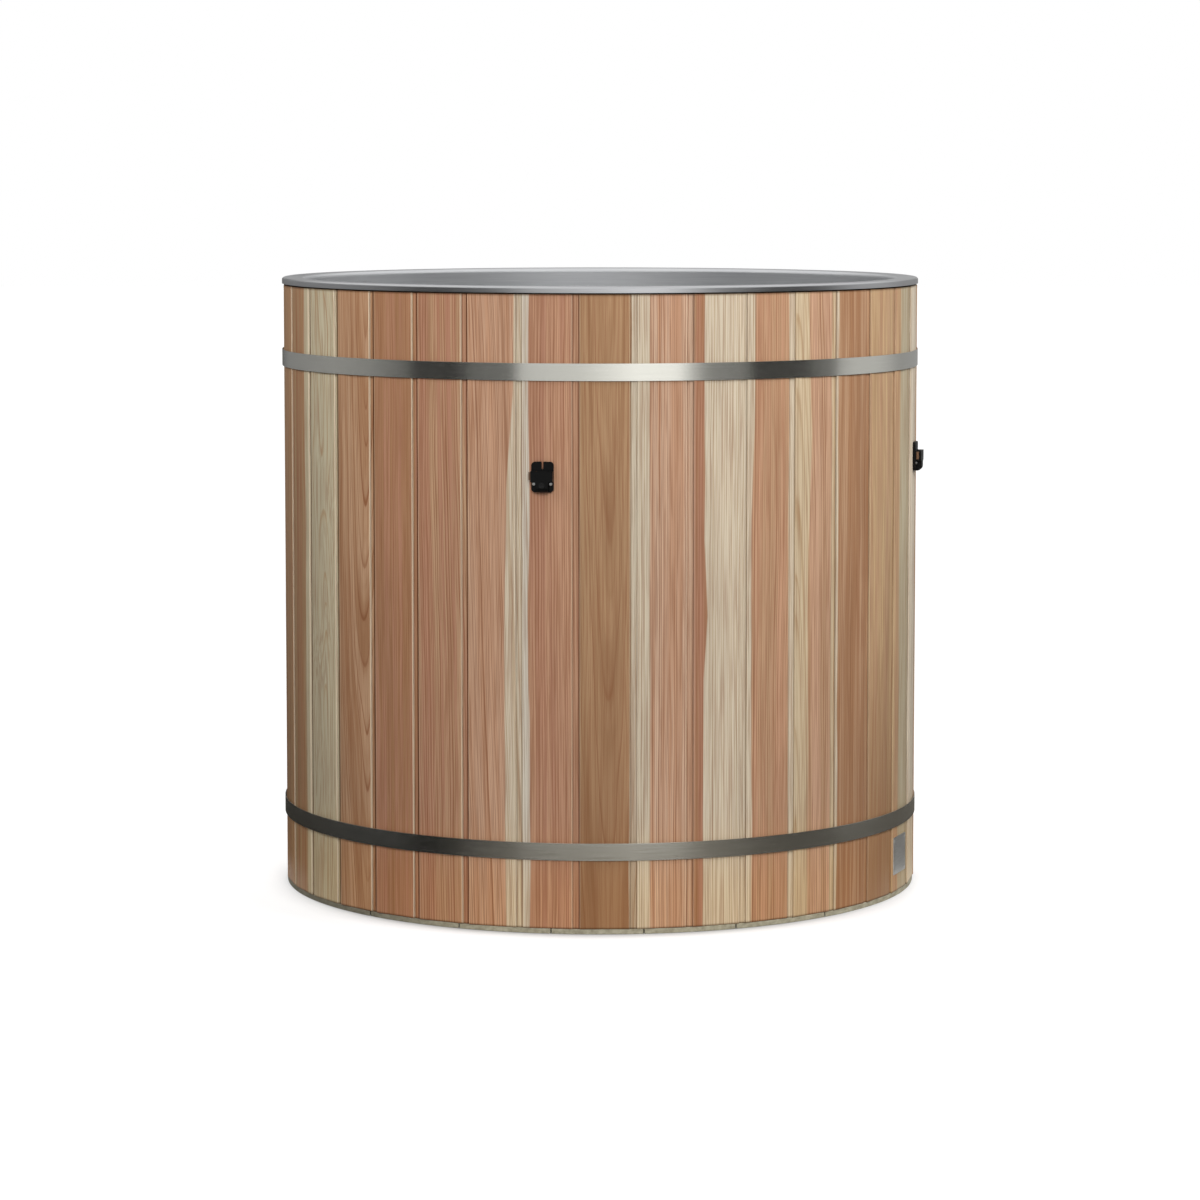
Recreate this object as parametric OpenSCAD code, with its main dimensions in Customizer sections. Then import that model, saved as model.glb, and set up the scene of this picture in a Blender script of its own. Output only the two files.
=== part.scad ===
// Barrel cold plunge tub: an insulated steel tub inside a barrel of cedar staves.
// The origin is on the floor at the barrel's axis, +Z is up and the front faces -Y.
// Turns are in degrees from the front, positive towards +X. All sizes are in millimetres.

/* [Barrel] */
// Diameter over the corners of the staves
barrel_d = 1064; // [1000:2:1160]
// Height from the floor to the top of the rim
tub_h = 1016; // [900:2:1100]
// Number of staves round the barrel
stave_count = 37; // [34:1:37]
// Turn of the seam that is nearest to the front
seam_turn = -3.5; // [-4.5:0.1:4.5]
// Thickness of a stave
stave_t = 20; // [18:0.5:24]
// Gap between two staves, seen from outside
seam_gap = 1; // [0.6:0.1:1.6]
// Width of the sunk strip along the right edge of each stave
reveal_w = 10; // [6:0.5:12]
// Depth of the sunk strip
reveal_depth = 2.5; // [1:0.1:3.5]
// Width of the bevel between a stave's face and its strip
bevel_w = 1.5; // [0.5:0.1:3]
// Thickness of the tongue along a stave's right edge
tongue_t = 6; // [4:0.5:7]
// Length of the tongue
tongue_l = 6; // [4:0.5:7]
// Chamfer across the two ends of a stave
end_chamfer = 2; // [0.5:0.1:4]

/* [Base] */
// Thickness of the base boards
board_t = 22; // [18:1:28]
// Height of the base that shows under the staves
base_lip_h = 8; // [6:0.5:12]
// Width of a base board, from gap to gap
board_pitch = 146; // [138:1:150]
// Gap between two base boards
board_gap = 1.5; // [1:0.1:3]
// Shift of the middle board's centre to the right
board_shift = -4; // [-15:0.5:0]
// Width of a batten across the boards
batten_w = 60; // [40:1:80]
// Thickness of a batten
batten_t = 12; // [11:0.5:18]
// Distance between two battens
batten_pitch = 220; // [160:5:235]

/* [Tub] */
// Thickness of the tub's steel sheet
sheet_t = 1.5; // [1:0.1:2.5]
// Thickness of the foam round the tub
foam_t = 13; // [10:0.5:20]
// Thickness of the foam under the tub
floor_foam_t = 15; // [10:1:30]
// Radius of the bend between the tub's wall and floor, inside
floor_bend_r = 3; // [2:0.5:12]
// Radius of the bend at the mouth, under the sheet
mouth_bend_r = 6; // [3:0.5:9]
// Radius of the bend at the outer edge of the rim, under the sheet
lip_bend_r = 2.5; // [1:0.5:5]
// Height of the rim's downturned lip
lip_h = 10; // [6:0.5:16]
// Gap between the lip and the top of the staves
lip_gap = 2; // [1:0.5:4]
// How far the lip stands out past the corners of the staves
lip_out = 1.2; // [0:0.1:4]

/* [Hoops] */
// Height of a hoop's band
hoop_w = 27.5; // [20:0.5:34]
// Thickness of a hoop's band
hoop_t = 1.4; // [1:0.1:3]
// Height of the lower hoop's lower edge
lower_hoop_z = 117; // [112:1:200]
// Height of the upper hoop's lower edge
upper_hoop_z = 869.5; // [780:0.5:870]
// Turn at which the hoops are joined
hoop_joint_turn = 205; // [200:1:250]
// Distance between a hoop's two lugs
lug_gap = 24; // [16:1:36]
// Thickness of a lug
lug_t = 3; // [2:0.5:5]
// How far a lug stands out from the staves
lug_out = 27; // [22:1:36]
// Diameter of a hoop's bolt
bolt_d = 8; // [5:0.5:9]

/* [Cover latches] */
// Width of a latch
latch_w = 35; // [33:0.5:42]
// Height of a latch
latch_h = 48; // [46:0.5:60]
// Height of a latch's lower edge over the floor
latch_z = 696; // [400:1:760]
// Turn of the front latch; the others follow about a quarter turn apart
latch_turn = -9.65; // [-12:0.05:12]
// Thickness of a latch's back plate
latch_plate_t = 5; // [4:0.2:6]
// Depth of a latch, from the stave to its front
latch_depth = 14.5; // [14:0.5:18]
// Height of the latch's deep part
latch_body_h = 33.6; // [33:0.2:40]
// How far the sides of a latch swell
latch_bulge = 1.5; // [0.5:0.1:2.5]
// Radius of the latch's corners
latch_corner_r = 6; // [2:0.5:8]
// Radius of the latch's lower front edge
latch_nose_r = 8; // [3:0.5:9]
// Width of the slot in the back plate
slot_w = 3.3; // [2:0.1:5]
// Length of the slot in the back plate
slot_l = 11.5; // [6:0.5:13]
// Width of the pocket for the strap's clip
pocket_w = 22; // [20:0.5:23]
// Thickness of the wall in front of the pocket
pocket_wall = 2.7; // [2:0.1:3.2]
// How far the release tab stands out
tab_out = 4; // [3.4:0.1:6]
// Height of the release tab
tab_h = 12.4; // [8:0.2:12.6]
// Thickness of the release tab
tab_t = 4.2; // [3:0.1:4.4]
// Travel of the release tab
tab_travel = 3; // [1:0.1:3]
// Diameter of the lock barrel
lock_d = 9; // [7:0.1:9.5]
// Height of the lock barrel's centre over the latch's lower edge
lock_y = 11.5; // [10:0.1:12]
// Distance between a latch's two screws
latch_screw_pitch = 26.4; // [25.6:0.1:28]
// Height of the latch's screws over its lower edge
latch_screw_y = 13.4; // [11:0.1:14]
// Diameter of a screw
screw_d = 3.5; // [2.5:0.1:4]
// Length of a latch screw
latch_screw_l = 16; // [12:1:20]

/* [Plate] */
// Turn of the plain plate beside the lower hoop
plate_turn = 69; // [60:1:75]
// Width of the plate
plate_w = 69; // [40:1:72]
// Height of the plate
plate_h = 62; // [40:1:70]
// Thickness of the plate
plate_t = 1; // [0.6:0.1:2]
// Height of the plate's lower edge over the floor
plate_z = 37; // [20:1:45]
// Distance from the plate's edges to its nails
nail_inset = 6; // [4:0.5:12]
// Length of a nail behind the plate
nail_l = 12; // [8:1:16]
// Diameter of a nail
nail_d = 2; // [1.2:0.1:3]
// Diameter of a nail's head
nail_head_d = 4.6; // [3.6:0.1:7]

/* [Drain] */
// Turn near which the drain leaves the barrel
drain_turn = 180; // [172:1:184]
// Height of the drain over the tub's floor
drain_rise = 30; // [29:0.5:33]
// Diameter of the drain's thread
drain_d = 26.4; // [24:0.1:27]
// Diameter of the water way
drain_bore_d = 20; // [12:0.5:20]
// Diameter of the drain's flange inside the tub
drain_flange_d = 40; // [36:0.5:42]
// Thickness of the drain's flange
drain_flange_t = 4; // [3:0.5:6]
// Width over the flats of the drain's nut
drain_nut_w = 36; // [33:0.5:38]
// Thickness of the drain's nut
drain_nut_t = 8; // [6:0.5:12]
// Length of thread that the valve screws over
valve_thread_l = 12; // [8:0.5:16]
// Diameter of the valve's ball
ball_d = 30; // [26.5:0.5:31]
// Diameter of the valve's barrel
valve_d = 38; // [37:0.5:41]
// Length of thread at the valve's outlet
outlet_l = 16; // [10:0.5:24]
// Height of the valve's neck over the water way's centre
neck_h = 26; // [24:0.5:28]
// Diameter of the valve's stem
stem_d = 8; // [6:0.2:9]
// Length of the lever from the stem
lever_l = 95; // [70:1:120]
// Width of the lever
lever_w = 15; // [12:0.5:20]
// Thickness of the lever
lever_t = 3; // [2:0.5:4]

/* [Hidden] */
$fn = 96;
// Small overlap that lets one cut pass fully through another face
cut = 0.5;
// Clearance between neighbouring pieces that don't touch
gap = 0.3;
// Clearance round a fastener, a seat or a stem that turns
fit = 0.05;
seat_gap = 0.1;

pitch = 360 / stave_count;
half = pitch / 2;
barrel_r = barrel_d / 2;
face_r = barrel_r * cos(half);
stave_in_r = face_r - stave_t;
stave_z0 = base_lip_h;
stave_z1 = tub_h - lip_h - lip_gap;
tongue_r = (face_r - (stave_t + reveal_depth) / 2) / cos(half);

tub_out_r = stave_in_r - foam_t - 2 * gap;
tub_in_r = tub_out_r - sheet_t;
rim_r = barrel_r + lip_out;
batten_z = board_t + seat_gap;
floor_foam_z = batten_z + batten_t;
tub_z0 = floor_foam_z + floor_foam_t;
tub_floor_z = tub_z0 + sheet_t;
boards_r = stave_in_r - gap;

latch_edge = 1;
lock_wall = 2.2;
pocket_y0 = lock_y + lock_d / 2 + lock_wall;
pocket_z0 = latch_plate_t;
pocket_z1 = latch_depth - pocket_wall;
tab_z = (pocket_z0 + pocket_z1) / 2;
tab_y = (pocket_y0 + latch_body_h) / 2;
tab_flange_t = 1.8;
lock_cam_t = 2.2;
lock_cam_w = 3.8;
lock_cam_l = lock_d / 2 + 0.8;
lock_cam_r = norm([lock_cam_l, lock_cam_w / 2]);
key_l = 5.4;
key_w = 1.2;
key_depth = 3;

screw_head_d = 5.6;
screw_head_h = 2.2;
screw_room = 0.6;
screw_pocket_r = screw_head_d / 2 + screw_room;
screw_short = 5;
base_screw_l = batten_z + batten_t - screw_short;
base_screw_cover = 1;
base_screw_sink = screw_head_h + base_screw_cover;
nail_head_t = 1;
plate_corner_r = 3;

seat_x0 = -face_r * tan(half) + seam_gap / 2 / cos(half);
seat_x1 = face_r * tan(half) - seam_gap / 2 / cos(half) - reveal_w - bevel_w;
seat_mid = (seat_x0 + seat_x1) / 2;

drain_z = tub_floor_z + drain_rise;
drain_r = drain_d / 2;
drain_bore_r = drain_bore_d / 2;
pipe_room = 1;
hex_step = 2;
valve_hex_w = drain_nut_w - hex_step;
valve_in = drain_nut_t + gap;
shoulder_t = 1.7;
valve_hex_l = valve_thread_l + shoulder_t;
cavity_r = ball_d / 2 + gap;
ball_wall = 2.4;
ball_z = valve_in + valve_thread_l + ball_wall + cavity_r;
seat_in = 4;
ball_hold = 1;
barrel_end = ball_z + ball_d / 2 - ball_hold;
adapter_z0 = ball_z + seat_in;
collar_d = valve_d - hex_step;
collar_t = 4;
outlet_z1 = barrel_end + collar_t + outlet_l;
neck_wall = 4;
neck_r = stem_d / 2 + neck_wall;
tang_t = 3;
tang_l = 3;
stem_y0 = ball_d / 2 + 2 * gap;
lever_lift = 1;
lever_y = neck_h + lever_lift;
lever_eye = 2;
lever_nut_t = 4.5;
lever_nut_wall = 2.5;
lever_nut_w = stem_d + 2 * lever_nut_wall;
stem_over = 1;
stem_top = lever_y + lever_t + lever_nut_t + stem_over;
grip_l = 58;
grip_wall = 2;

latch_names = ["latch_1", "latch_2", "latch_3", "latch_4"];
latch_n = len(latch_names);
function two_digits(n) = n < 10 ? str("0", n) : str(n);
stave_names = [for (k = [1:stave_count]) str("stave_", two_digits(k))];

cedar_brown = "#A37A55";
cedar_salmon = "#BD8B6B";
cedar_tan = "#BE9770";
cedar_cream = "#D2BD98";
// The tone of each stave, from the one right of the front seam, as the barrel shows them
stave_tones = [
    cedar_brown, cedar_salmon, cedar_cream, cedar_salmon, cedar_tan, cedar_tan, cedar_brown,
    cedar_cream, cedar_tan, cedar_salmon, cedar_cream, cedar_brown, cedar_salmon
];
steel = "#B4B4B0";
black_plastic = "#161616";
brown_plastic = "#6E4C30";
pale_wood = "#A7A08E";
foam_colour = "#E9E4CE";
brass = "#B79A5B";
grip_blue = "#2B5C8A";

// Which stave lies nearest to a turn, and that stave's own turn
function stave_turn(k) = seam_turn + half + pitch * k;
function nearest_stave(turn) = round((turn - stave_turn(0)) / pitch);
function ring_index(k) = (k + stave_count) % stave_count;
function clamp(v, low, high) = max(low, min(high, v));
// Sideways place on stave k's flat face that is nearest to a turn, kept on the face
function seat_x(k, turn, left, right) =
    clamp(face_r * tan(turn - stave_turn(k)), seat_x0 + left, seat_x1 - right);

// The latches stand a whole number of staves apart, each as near to its quarter turn as its stave lets it
latch_step = floor(stave_count / latch_n);
function latch_at(i) = latch_turn + i * 90;
function latch_stave(i) = nearest_stave(latch_turn) + i * latch_step;
function latch_x(i) =
    seat_x(latch_stave(i), latch_at(i), latch_w / 2 + tab_out + latch_edge, latch_w / 2 + latch_edge);
drain_stave = nearest_stave(drain_turn);
plate_stave = nearest_stave(plate_turn);

// Turns a piece drawn with x to the right, y up and z outward onto a stave's flat face
module on_face(k, x, z) {
    rotate([0, 0, stave_turn(k)])
        translate([x, -face_r, z])
            rotate([90, 0, 0])
                children();
}

module on_latch(i) {
    on_face(latch_stave(i), latch_x(i), latch_z)
        children();
}

// A point at radius u along a seam and v past it; side is 1 for the right seam, -1 for the left
function seam_point(side, u, v) = [
    side * u * sin(half) + v * cos(half),
    -(u * cos(half) - side * v * sin(half))
];
// A point v past a seam at the stated distance from the axis, across the stave
function seam_at(side, v, r) = [side * r * tan(half) + v / cos(half), -r];

module stave_outline() {
    side_v = seam_gap / 2;
    u0 = tongue_r - tongue_t / 2;
    u1 = tongue_r + tongue_t / 2;
    polygon([
        seam_at(-1, side_v, face_r),
        [seat_x1, -face_r],
        [seat_x1 + bevel_w, -face_r + reveal_depth],
        seam_at(1, -side_v, face_r - reveal_depth),
        seam_point(1, u1, -side_v),
        seam_point(1, u1, tongue_l),
        seam_point(1, u0, tongue_l),
        seam_point(1, u0, -side_v),
        seam_at(1, -side_v, stave_in_r),
        seam_at(-1, side_v, stave_in_r),
        seam_point(-1, u0 - gap, side_v),
        seam_point(-1, u0 - gap, tongue_l + gap),
        seam_point(-1, u1 + gap, tongue_l + gap),
        seam_point(-1, u1 + gap, side_v)
    ]);
}

// The corner that an end's chamfer takes off; dir is 1 at the top and -1 at the bottom
module end_cut(z, dir) {
    side = end_chamfer + cut;
    rotate([90, 0, 90])
        linear_extrude(4 * face_r * sin(half), center = true)
            polygon([
                [-face_r - cut, z + dir * cut],
                [-face_r - cut, z - dir * side],
                [-face_r + side, z + dir * cut]
            ]);
}

module stave_bores(k) {
    for (i = [0:latch_n - 1])
        if (ring_index(latch_stave(i)) == k)
            on_latch(i)
                latch_screw_places()
                    translate([0, 0, latch_plate_t - latch_screw_l - gap])
                        cylinder(d = screw_d + 2 * seat_gap, h = latch_screw_l);
    if (drain_stave == k)
        on_face(k, seat_mid, drain_z)
            cylinder(d = drain_d + 2 * pipe_room, h = 4 * stave_t, center = true);
    if (plate_stave == k)
        on_face(k, seat_mid, plate_z + plate_h / 2)
            nail_places()
                translate([0, 0, -nail_l - gap])
                    cylinder(d = nail_d + 2 * seat_gap, h = 2 * nail_l);
}

module stave(k) {
    color(stave_tones[k % len(stave_tones)])
        difference() {
            rotate([0, 0, stave_turn(k)])
                difference() {
                    translate([0, 0, stave_z0])
                        linear_extrude(stave_z1 - stave_z0)
                            stave_outline();
                    end_cut(stave_z0, -1);
                    end_cut(stave_z1, 1);
                }
            stave_bores(k);
        }
}

// Half section of a cup with a bend between its wall and floor
module cup_section(r, z0, z1, bend_r) {
    translate([0, z0])
        square([r - bend_r, z1 - z0]);
    translate([0, z0 + bend_r])
        square([r, z1 - z0 - bend_r]);
    translate([r - bend_r, z0 + bend_r])
        circle(bend_r);
}

// Section of a block from z0 up, with its two upper corners rounded
module rim_section(x0, x1, z0, z1, left_r, right_r) {
    translate([x0 + left_r, z0])
        square([x1 - x0 - left_r - right_r, z1 - z0]);
    translate([x0, z0])
        square([2 * left_r, z1 - z0 - left_r]);
    translate([x1 - 2 * right_r, z0])
        square([2 * right_r, z1 - z0 - right_r]);
    translate([x0 + left_r, z1 - left_r])
        circle(left_r);
    translate([x1 - right_r, z1 - right_r])
        circle(right_r);
}

module liner_section() {
    rim_z0 = tub_h - 2 * (lip_h + mouth_bend_r);
    difference() {
        cup_section(tub_out_r, tub_z0, rim_z0 + cut, floor_bend_r + sheet_t);
        cup_section(tub_in_r, tub_floor_z, tub_h, floor_bend_r);
    }
    difference() {
        rim_section(tub_in_r, rim_r, rim_z0, tub_h, mouth_bend_r + sheet_t, lip_bend_r + sheet_t);
        rim_section(tub_out_r, rim_r - sheet_t, rim_z0 - cut, tub_h - sheet_t, mouth_bend_r, lip_bend_r);
        translate([tub_out_r + cut, 0])
            square([2 * foam_t + 2 * stave_t, tub_h - lip_h]);
    }
}

module drain_hole(d) {
    on_face(drain_stave, seat_mid, drain_z)
        translate([0, 0, -2 * (stave_t + foam_t)])
            cylinder(d = d, h = 4 * (stave_t + foam_t));
}

module liner() {
    color(steel)
        difference() {
            rotate_extrude()
                liner_section();
            drain_hole(drain_d + 2 * gap);
        }
}

module foam_jacket() {
    sleeve_z0 = batten_z;
    sleeve_z1 = tub_h - sheet_t - gap;
    inner_r = tub_out_r + gap;
    color(foam_colour) {
        difference() {
            translate([0, 0, sleeve_z0])
                cylinder(r = inner_r + foam_t, h = sleeve_z1 - sleeve_z0);
            translate([0, 0, sleeve_z0 - cut])
                cylinder(r = inner_r, h = sleeve_z1 - sleeve_z0 - mouth_bend_r);
            translate([0, 0, sleeve_z1 - mouth_bend_r - 2 * cut])
                cylinder(r = inner_r + mouth_bend_r, h = mouth_bend_r + 4 * cut);
            drain_hole(drain_d + 2 * pipe_room);
        }
        translate([0, 0, floor_foam_z])
            cylinder(r = tub_out_r, h = floor_foam_t);
    }
}

module hoop(z) {
    in_r = barrel_r + seat_gap;
    color(steel)
        rotate([0, 0, hoop_joint_turn])
            translate([0, 0, z])
                difference() {
                    union() {
                        difference() {
                            cylinder(r = in_r + hoop_t, h = hoop_w);
                            translate([0, 0, -cut])
                                cylinder(r = in_r, h = hoop_w + 2 * cut);
                            translate([-lug_gap / 2, -2 * in_r, -cut])
                                cube([lug_gap, 2 * in_r, hoop_w + 2 * cut]);
                        }
                        for (side = [0, 1])
                            mirror([side, 0, 0])
                                translate([lug_gap / 2, -in_r - lug_out, 0])
                                    cube([lug_t, lug_out - seat_gap, hoop_w]);
                    }
                    translate([0, -in_r - lug_out / 2, hoop_w / 2])
                        rotate([0, 90, 0])
                            cylinder(d = bolt_d + 4 * seat_gap, h = 2 * lug_gap, center = true);
                }
}

module upper_hoop() {
    hoop(upper_hoop_z);
}

module lower_hoop() {
    hoop(lower_hoop_z);
}

// Centres of the screws that hold the boards to the battens
screw_rows = [-1.5, -0.5, 0.5, 1.5] * batten_pitch;
screw_columns = [for (i = [-3:3]) board_shift + i * board_pitch];
function on_battens(x, y) = norm([x, y]) < tub_out_r - 2 * screw_head_d;

module base_screw_places() {
    for (y = screw_rows)
        for (x = screw_columns)
            if (on_battens(x, y))
                translate([x, y, 0])
                    children();
}

module base_boards() {
    color(pale_wood) {
        difference() {
            union() {
                cylinder(r = face_r, h = base_lip_h);
                cylinder(r = boards_r, h = board_t);
            }
            for (i = [-2.5:2.5])
                translate([board_shift + i * board_pitch - board_gap / 2, -barrel_d, -cut])
                    cube([board_gap, 2 * barrel_d, board_t + 2 * cut]);
            base_screw_places() {
                translate([0, 0, -cut])
                    cylinder(r = screw_pocket_r, h = base_screw_sink + cut);
                cylinder(d = screw_d + 2 * seat_gap, h = 2 * board_t);
            }
        }
        for (y = screw_rows)
            difference() {
                intersection() {
                    translate([-barrel_r, y - batten_w / 2, batten_z])
                        cube([barrel_d, batten_w, batten_t]);
                    cylinder(r = tub_out_r - gap, h = tub_z0);
                }
                base_screw_places()
                    cylinder(d = screw_d + 2 * seat_gap, h = base_screw_l + gap);
            }
    }
}

// A pan head screw along z with the underside of its head at z = 0 and its point downwards
module wood_screw(length) {
    shank_r = screw_d / 2;
    head_r = screw_head_d / 2;
    difference() {
        rotate_extrude()
            polygon([
                [0, -length],
                [shank_r * 0.2, -length],
                [shank_r, -length + screw_d],
                [shank_r, 0],
                [head_r, 0],
                [head_r, screw_head_h * 0.6],
                [head_r * 0.7, screw_head_h],
                [0, screw_head_h]
            ]);
        for (turn = [0, 90])
            rotate(turn)
                translate([0, 0, screw_head_h])
                    cube([screw_head_d * 0.55, screw_head_d * 0.14, screw_head_h], center = true);
    }
}

module hex_prism(width, height) {
    cylinder(d = width / cos(30), h = height, $fn = 6);
}

module hoop_bolt(z) {
    head_t = bolt_d * 0.7;
    reach = lug_gap / 2 + lug_t;
    rotate([0, 0, hoop_joint_turn])
        translate([0, -barrel_r - seat_gap - lug_out / 2, z + hoop_w / 2])
            rotate([0, 90, 0]) {
                translate([0, 0, reach])
                    hex_prism(1.6 * bolt_d, head_t);
                translate([0, 0, -reach - 1.4 * bolt_d])
                    cylinder(d = bolt_d, h = 2 * reach + 1.4 * bolt_d);
                translate([0, 0, -reach - 0.8 * bolt_d])
                    difference() {
                        hex_prism(1.6 * bolt_d, 0.8 * bolt_d);
                        translate([0, 0, -cut])
                            cylinder(d = bolt_d + 2 * fit, h = 2 * bolt_d);
                    }
            }
}

module fasteners() {
    color(steel) {
        for (i = [0:latch_n - 1])
            on_latch(i)
                latch_screw_places()
                    translate([0, 0, latch_plate_t])
                        wood_screw(latch_screw_l);
        base_screw_places()
            translate([0, 0, base_screw_sink])
                mirror([0, 0, 1])
                    wood_screw(base_screw_l - base_screw_sink);
        hoop_bolt(upper_hoop_z);
        hoop_bolt(lower_hoop_z);
    }
}

module rounded_square(w, h, r) {
    translate([-w / 2 + r, 0])
        square([w - 2 * r, h]);
    translate([-w / 2, r])
        square([w, h - 2 * r]);
    for (x = [-1, 1] * (w / 2 - r))
        for (y = [r, h - r])
            translate([x, y])
                circle(r);
}

// Outline of a latch, with its sides swollen at mid height
module latch_outline() {
    side_r = (latch_h * latch_h / 4 + latch_bulge * latch_bulge) / (2 * latch_bulge);
    intersection() {
        rounded_square(latch_w, latch_h, latch_corner_r);
        for (side = [0, 1])
            mirror([side, 0])
                translate([latch_w / 2 - side_r, latch_h / 2])
                    intersection() {
                        circle(side_r);
                        square([2 * side_r, latch_h + 2 * cut], center = true);
                    }
    }
}

// Side section of the latch's deep part: x is up and y is outward
module latch_side_section() {
    difference() {
        square([latch_body_h, latch_depth]);
        translate([-cut, latch_depth - latch_nose_r])
            difference() {
                square([latch_nose_r + cut, latch_nose_r + cut]);
                translate([latch_nose_r + cut, 0])
                    circle(latch_nose_r);
            }
    }
}

// The corner beside a screw that is cut back to the plate
module latch_corner_cut() {
    x = latch_screw_pitch / 2;
    translate([x, latch_screw_y]) {
        circle(screw_pocket_r);
        translate([-screw_pocket_r, -latch_h])
            square([latch_w, latch_h]);
        translate([0, -latch_h])
            square([latch_w, latch_h + screw_pocket_r]);
    }
}

// The latch's body before its slot, pocket and bores are cut
module latch_block() {
    linear_extrude(latch_plate_t)
        latch_outline();
    intersection() {
        linear_extrude(latch_depth)
            latch_outline();
        rotate([90, 0, 90])
            linear_extrude(2 * latch_w, center = true)
                latch_side_section();
    }
}

module latch_screw_places() {
    for (x = [-1, 1] * latch_screw_pitch / 2)
        translate([x, latch_screw_y, 0])
            children();
}

module latch_housing() {
    slot_y0 = latch_h - slot_l + slot_w / 2;
    color(black_plastic)
        difference() {
            latch_block();
            for (side = [0, 1])
                mirror([side, 0, 0])
                    translate([0, 0, latch_plate_t])
                        linear_extrude(latch_depth)
                            latch_corner_cut();
            latch_screw_places()
                translate([0, 0, -cut])
                    cylinder(d = screw_d + 2 * seat_gap, h = latch_depth);
            translate([-slot_w / 2, slot_y0, -cut])
                cube([slot_w, slot_l, latch_plate_t + 2 * cut]);
            translate([0, slot_y0, -cut])
                cylinder(d = slot_w, h = latch_plate_t + 2 * cut);
            translate([-pocket_w / 2, pocket_y0, pocket_z0])
                cube([pocket_w, latch_body_h, pocket_z1 - pocket_z0]);
            translate([-latch_w, tab_y - tab_h / 2 - gap, tab_z - tab_t / 2 - gap])
                cube([latch_w, tab_h + 2 * gap, tab_t + 2 * gap]);
            translate([0, lock_y, pocket_z0 - seat_gap]) {
                cylinder(r = lock_cam_r + gap, h = lock_cam_t + gap + seat_gap);
                cylinder(d = lock_d + 2 * fit, h = latch_depth);
            }
        }
}

// The release tab slides to the right and is kept in by its flange behind the side wall
module latch_tab() {
    flange_x = -pocket_w / 2 + gap;
    body_x = -latch_w / 2 - tab_out + tab_t / 2;
    color(brown_plastic) {
        translate([body_x, tab_y - tab_h / 2, tab_z - tab_t / 2])
            cube([flange_x + tab_flange_t - body_x, tab_h, tab_t]);
        translate([body_x, tab_y - tab_h / 2, tab_z])
            rotate([-90, 0, 0])
                cylinder(d = tab_t, h = tab_h);
        translate([flange_x, pocket_y0 + gap, pocket_z0 + gap])
            cube([tab_flange_t, latch_body_h - pocket_y0 - 2 * gap, pocket_z1 - pocket_z0 - 2 * gap]);
    }
}

// The lock barrel turns about z; its cam keeps it in and its face has a key slot
module latch_lock() {
    cam_z = pocket_z0 + seat_gap;
    color(steel)
        translate([0, lock_y, 0])
            difference() {
                union() {
                    translate([0, 0, cam_z])
                        cylinder(d = lock_d, h = latch_depth - cam_z);
                    translate([-lock_cam_w / 2, 0, cam_z])
                        cube([lock_cam_w, lock_cam_l, lock_cam_t]);
                }
                translate([-key_l / 2, -key_w / 2, latch_depth - key_depth])
                    cube([key_l, key_w, key_depth + cut]);
            }
}

module nail_places() {
    for (x = [-1, 1] * (plate_w / 2 - nail_inset))
        for (y = [-1, 1] * (plate_h / 2 - nail_inset))
            translate([x, y, 0])
                children();
}

module plain_plate() {
    color(steel)
        on_face(plate_stave, seat_mid, plate_z + plate_h / 2) {
            difference() {
                translate([0, -plate_h / 2, 0])
                    linear_extrude(plate_t)
                        rounded_square(plate_w, plate_h, plate_corner_r);
                nail_places()
                    translate([0, 0, -cut])
                        cylinder(d = nail_d + 2 * seat_gap, h = plate_t + 2 * cut);
            }
            nail_places() {
                translate([0, 0, plate_t + fit])
                    cylinder(d1 = nail_head_d, d2 = nail_head_d * 0.6, h = nail_head_t);
                translate([0, 0, -nail_l])
                    cylinder(d = nail_d, h = nail_l + plate_t + nail_head_t / 2);
            }
        }
}

module on_drain() {
    on_face(drain_stave, seat_mid, drain_z)
        children();
}

module drain_fitting() {
    wall_z = -(face_r - tub_in_r);
    face_z = wall_z - drain_flange_t;
    tube_z1 = drain_nut_t + valve_thread_l;
    sieve_t = 2;
    hole_r = drain_bore_r * 0.15;
    hole_step = drain_bore_r * 0.38;
    color(brass) {
        difference() {
            union() {
                intersection() {
                    on_drain()
                        translate([0, 0, face_z])
                            cylinder(d = drain_flange_d, h = drain_flange_t * 2);
                    cylinder(r = tub_in_r - seat_gap, h = tub_h);
                }
                on_drain()
                    translate([0, 0, wall_z - drain_flange_t / 2])
                        cylinder(r = drain_r, h = tube_z1 - wall_z + drain_flange_t / 2);
            }
            on_drain() {
                translate([0, 0, face_z + sieve_t])
                    cylinder(r = drain_bore_r, h = tube_z1 - face_z);
                for (ring = [1:2])
                    for (i = [1:6 * ring])
                        rotate(60 / ring * i)
                            translate([ring * hole_step, 0, face_z - drain_flange_t])
                                cylinder(r = hole_r, h = 3 * drain_flange_t);
                translate([0, 0, face_z - drain_flange_t])
                    cylinder(r = hole_r, h = 3 * drain_flange_t);
            }
        }
        on_drain()
            difference() {
                hex_prism(drain_nut_w, drain_nut_t);
                translate([0, 0, -cut])
                    cylinder(r = drain_r + seat_gap, h = drain_nut_t + 2 * cut);
            }
    }
}

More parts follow.
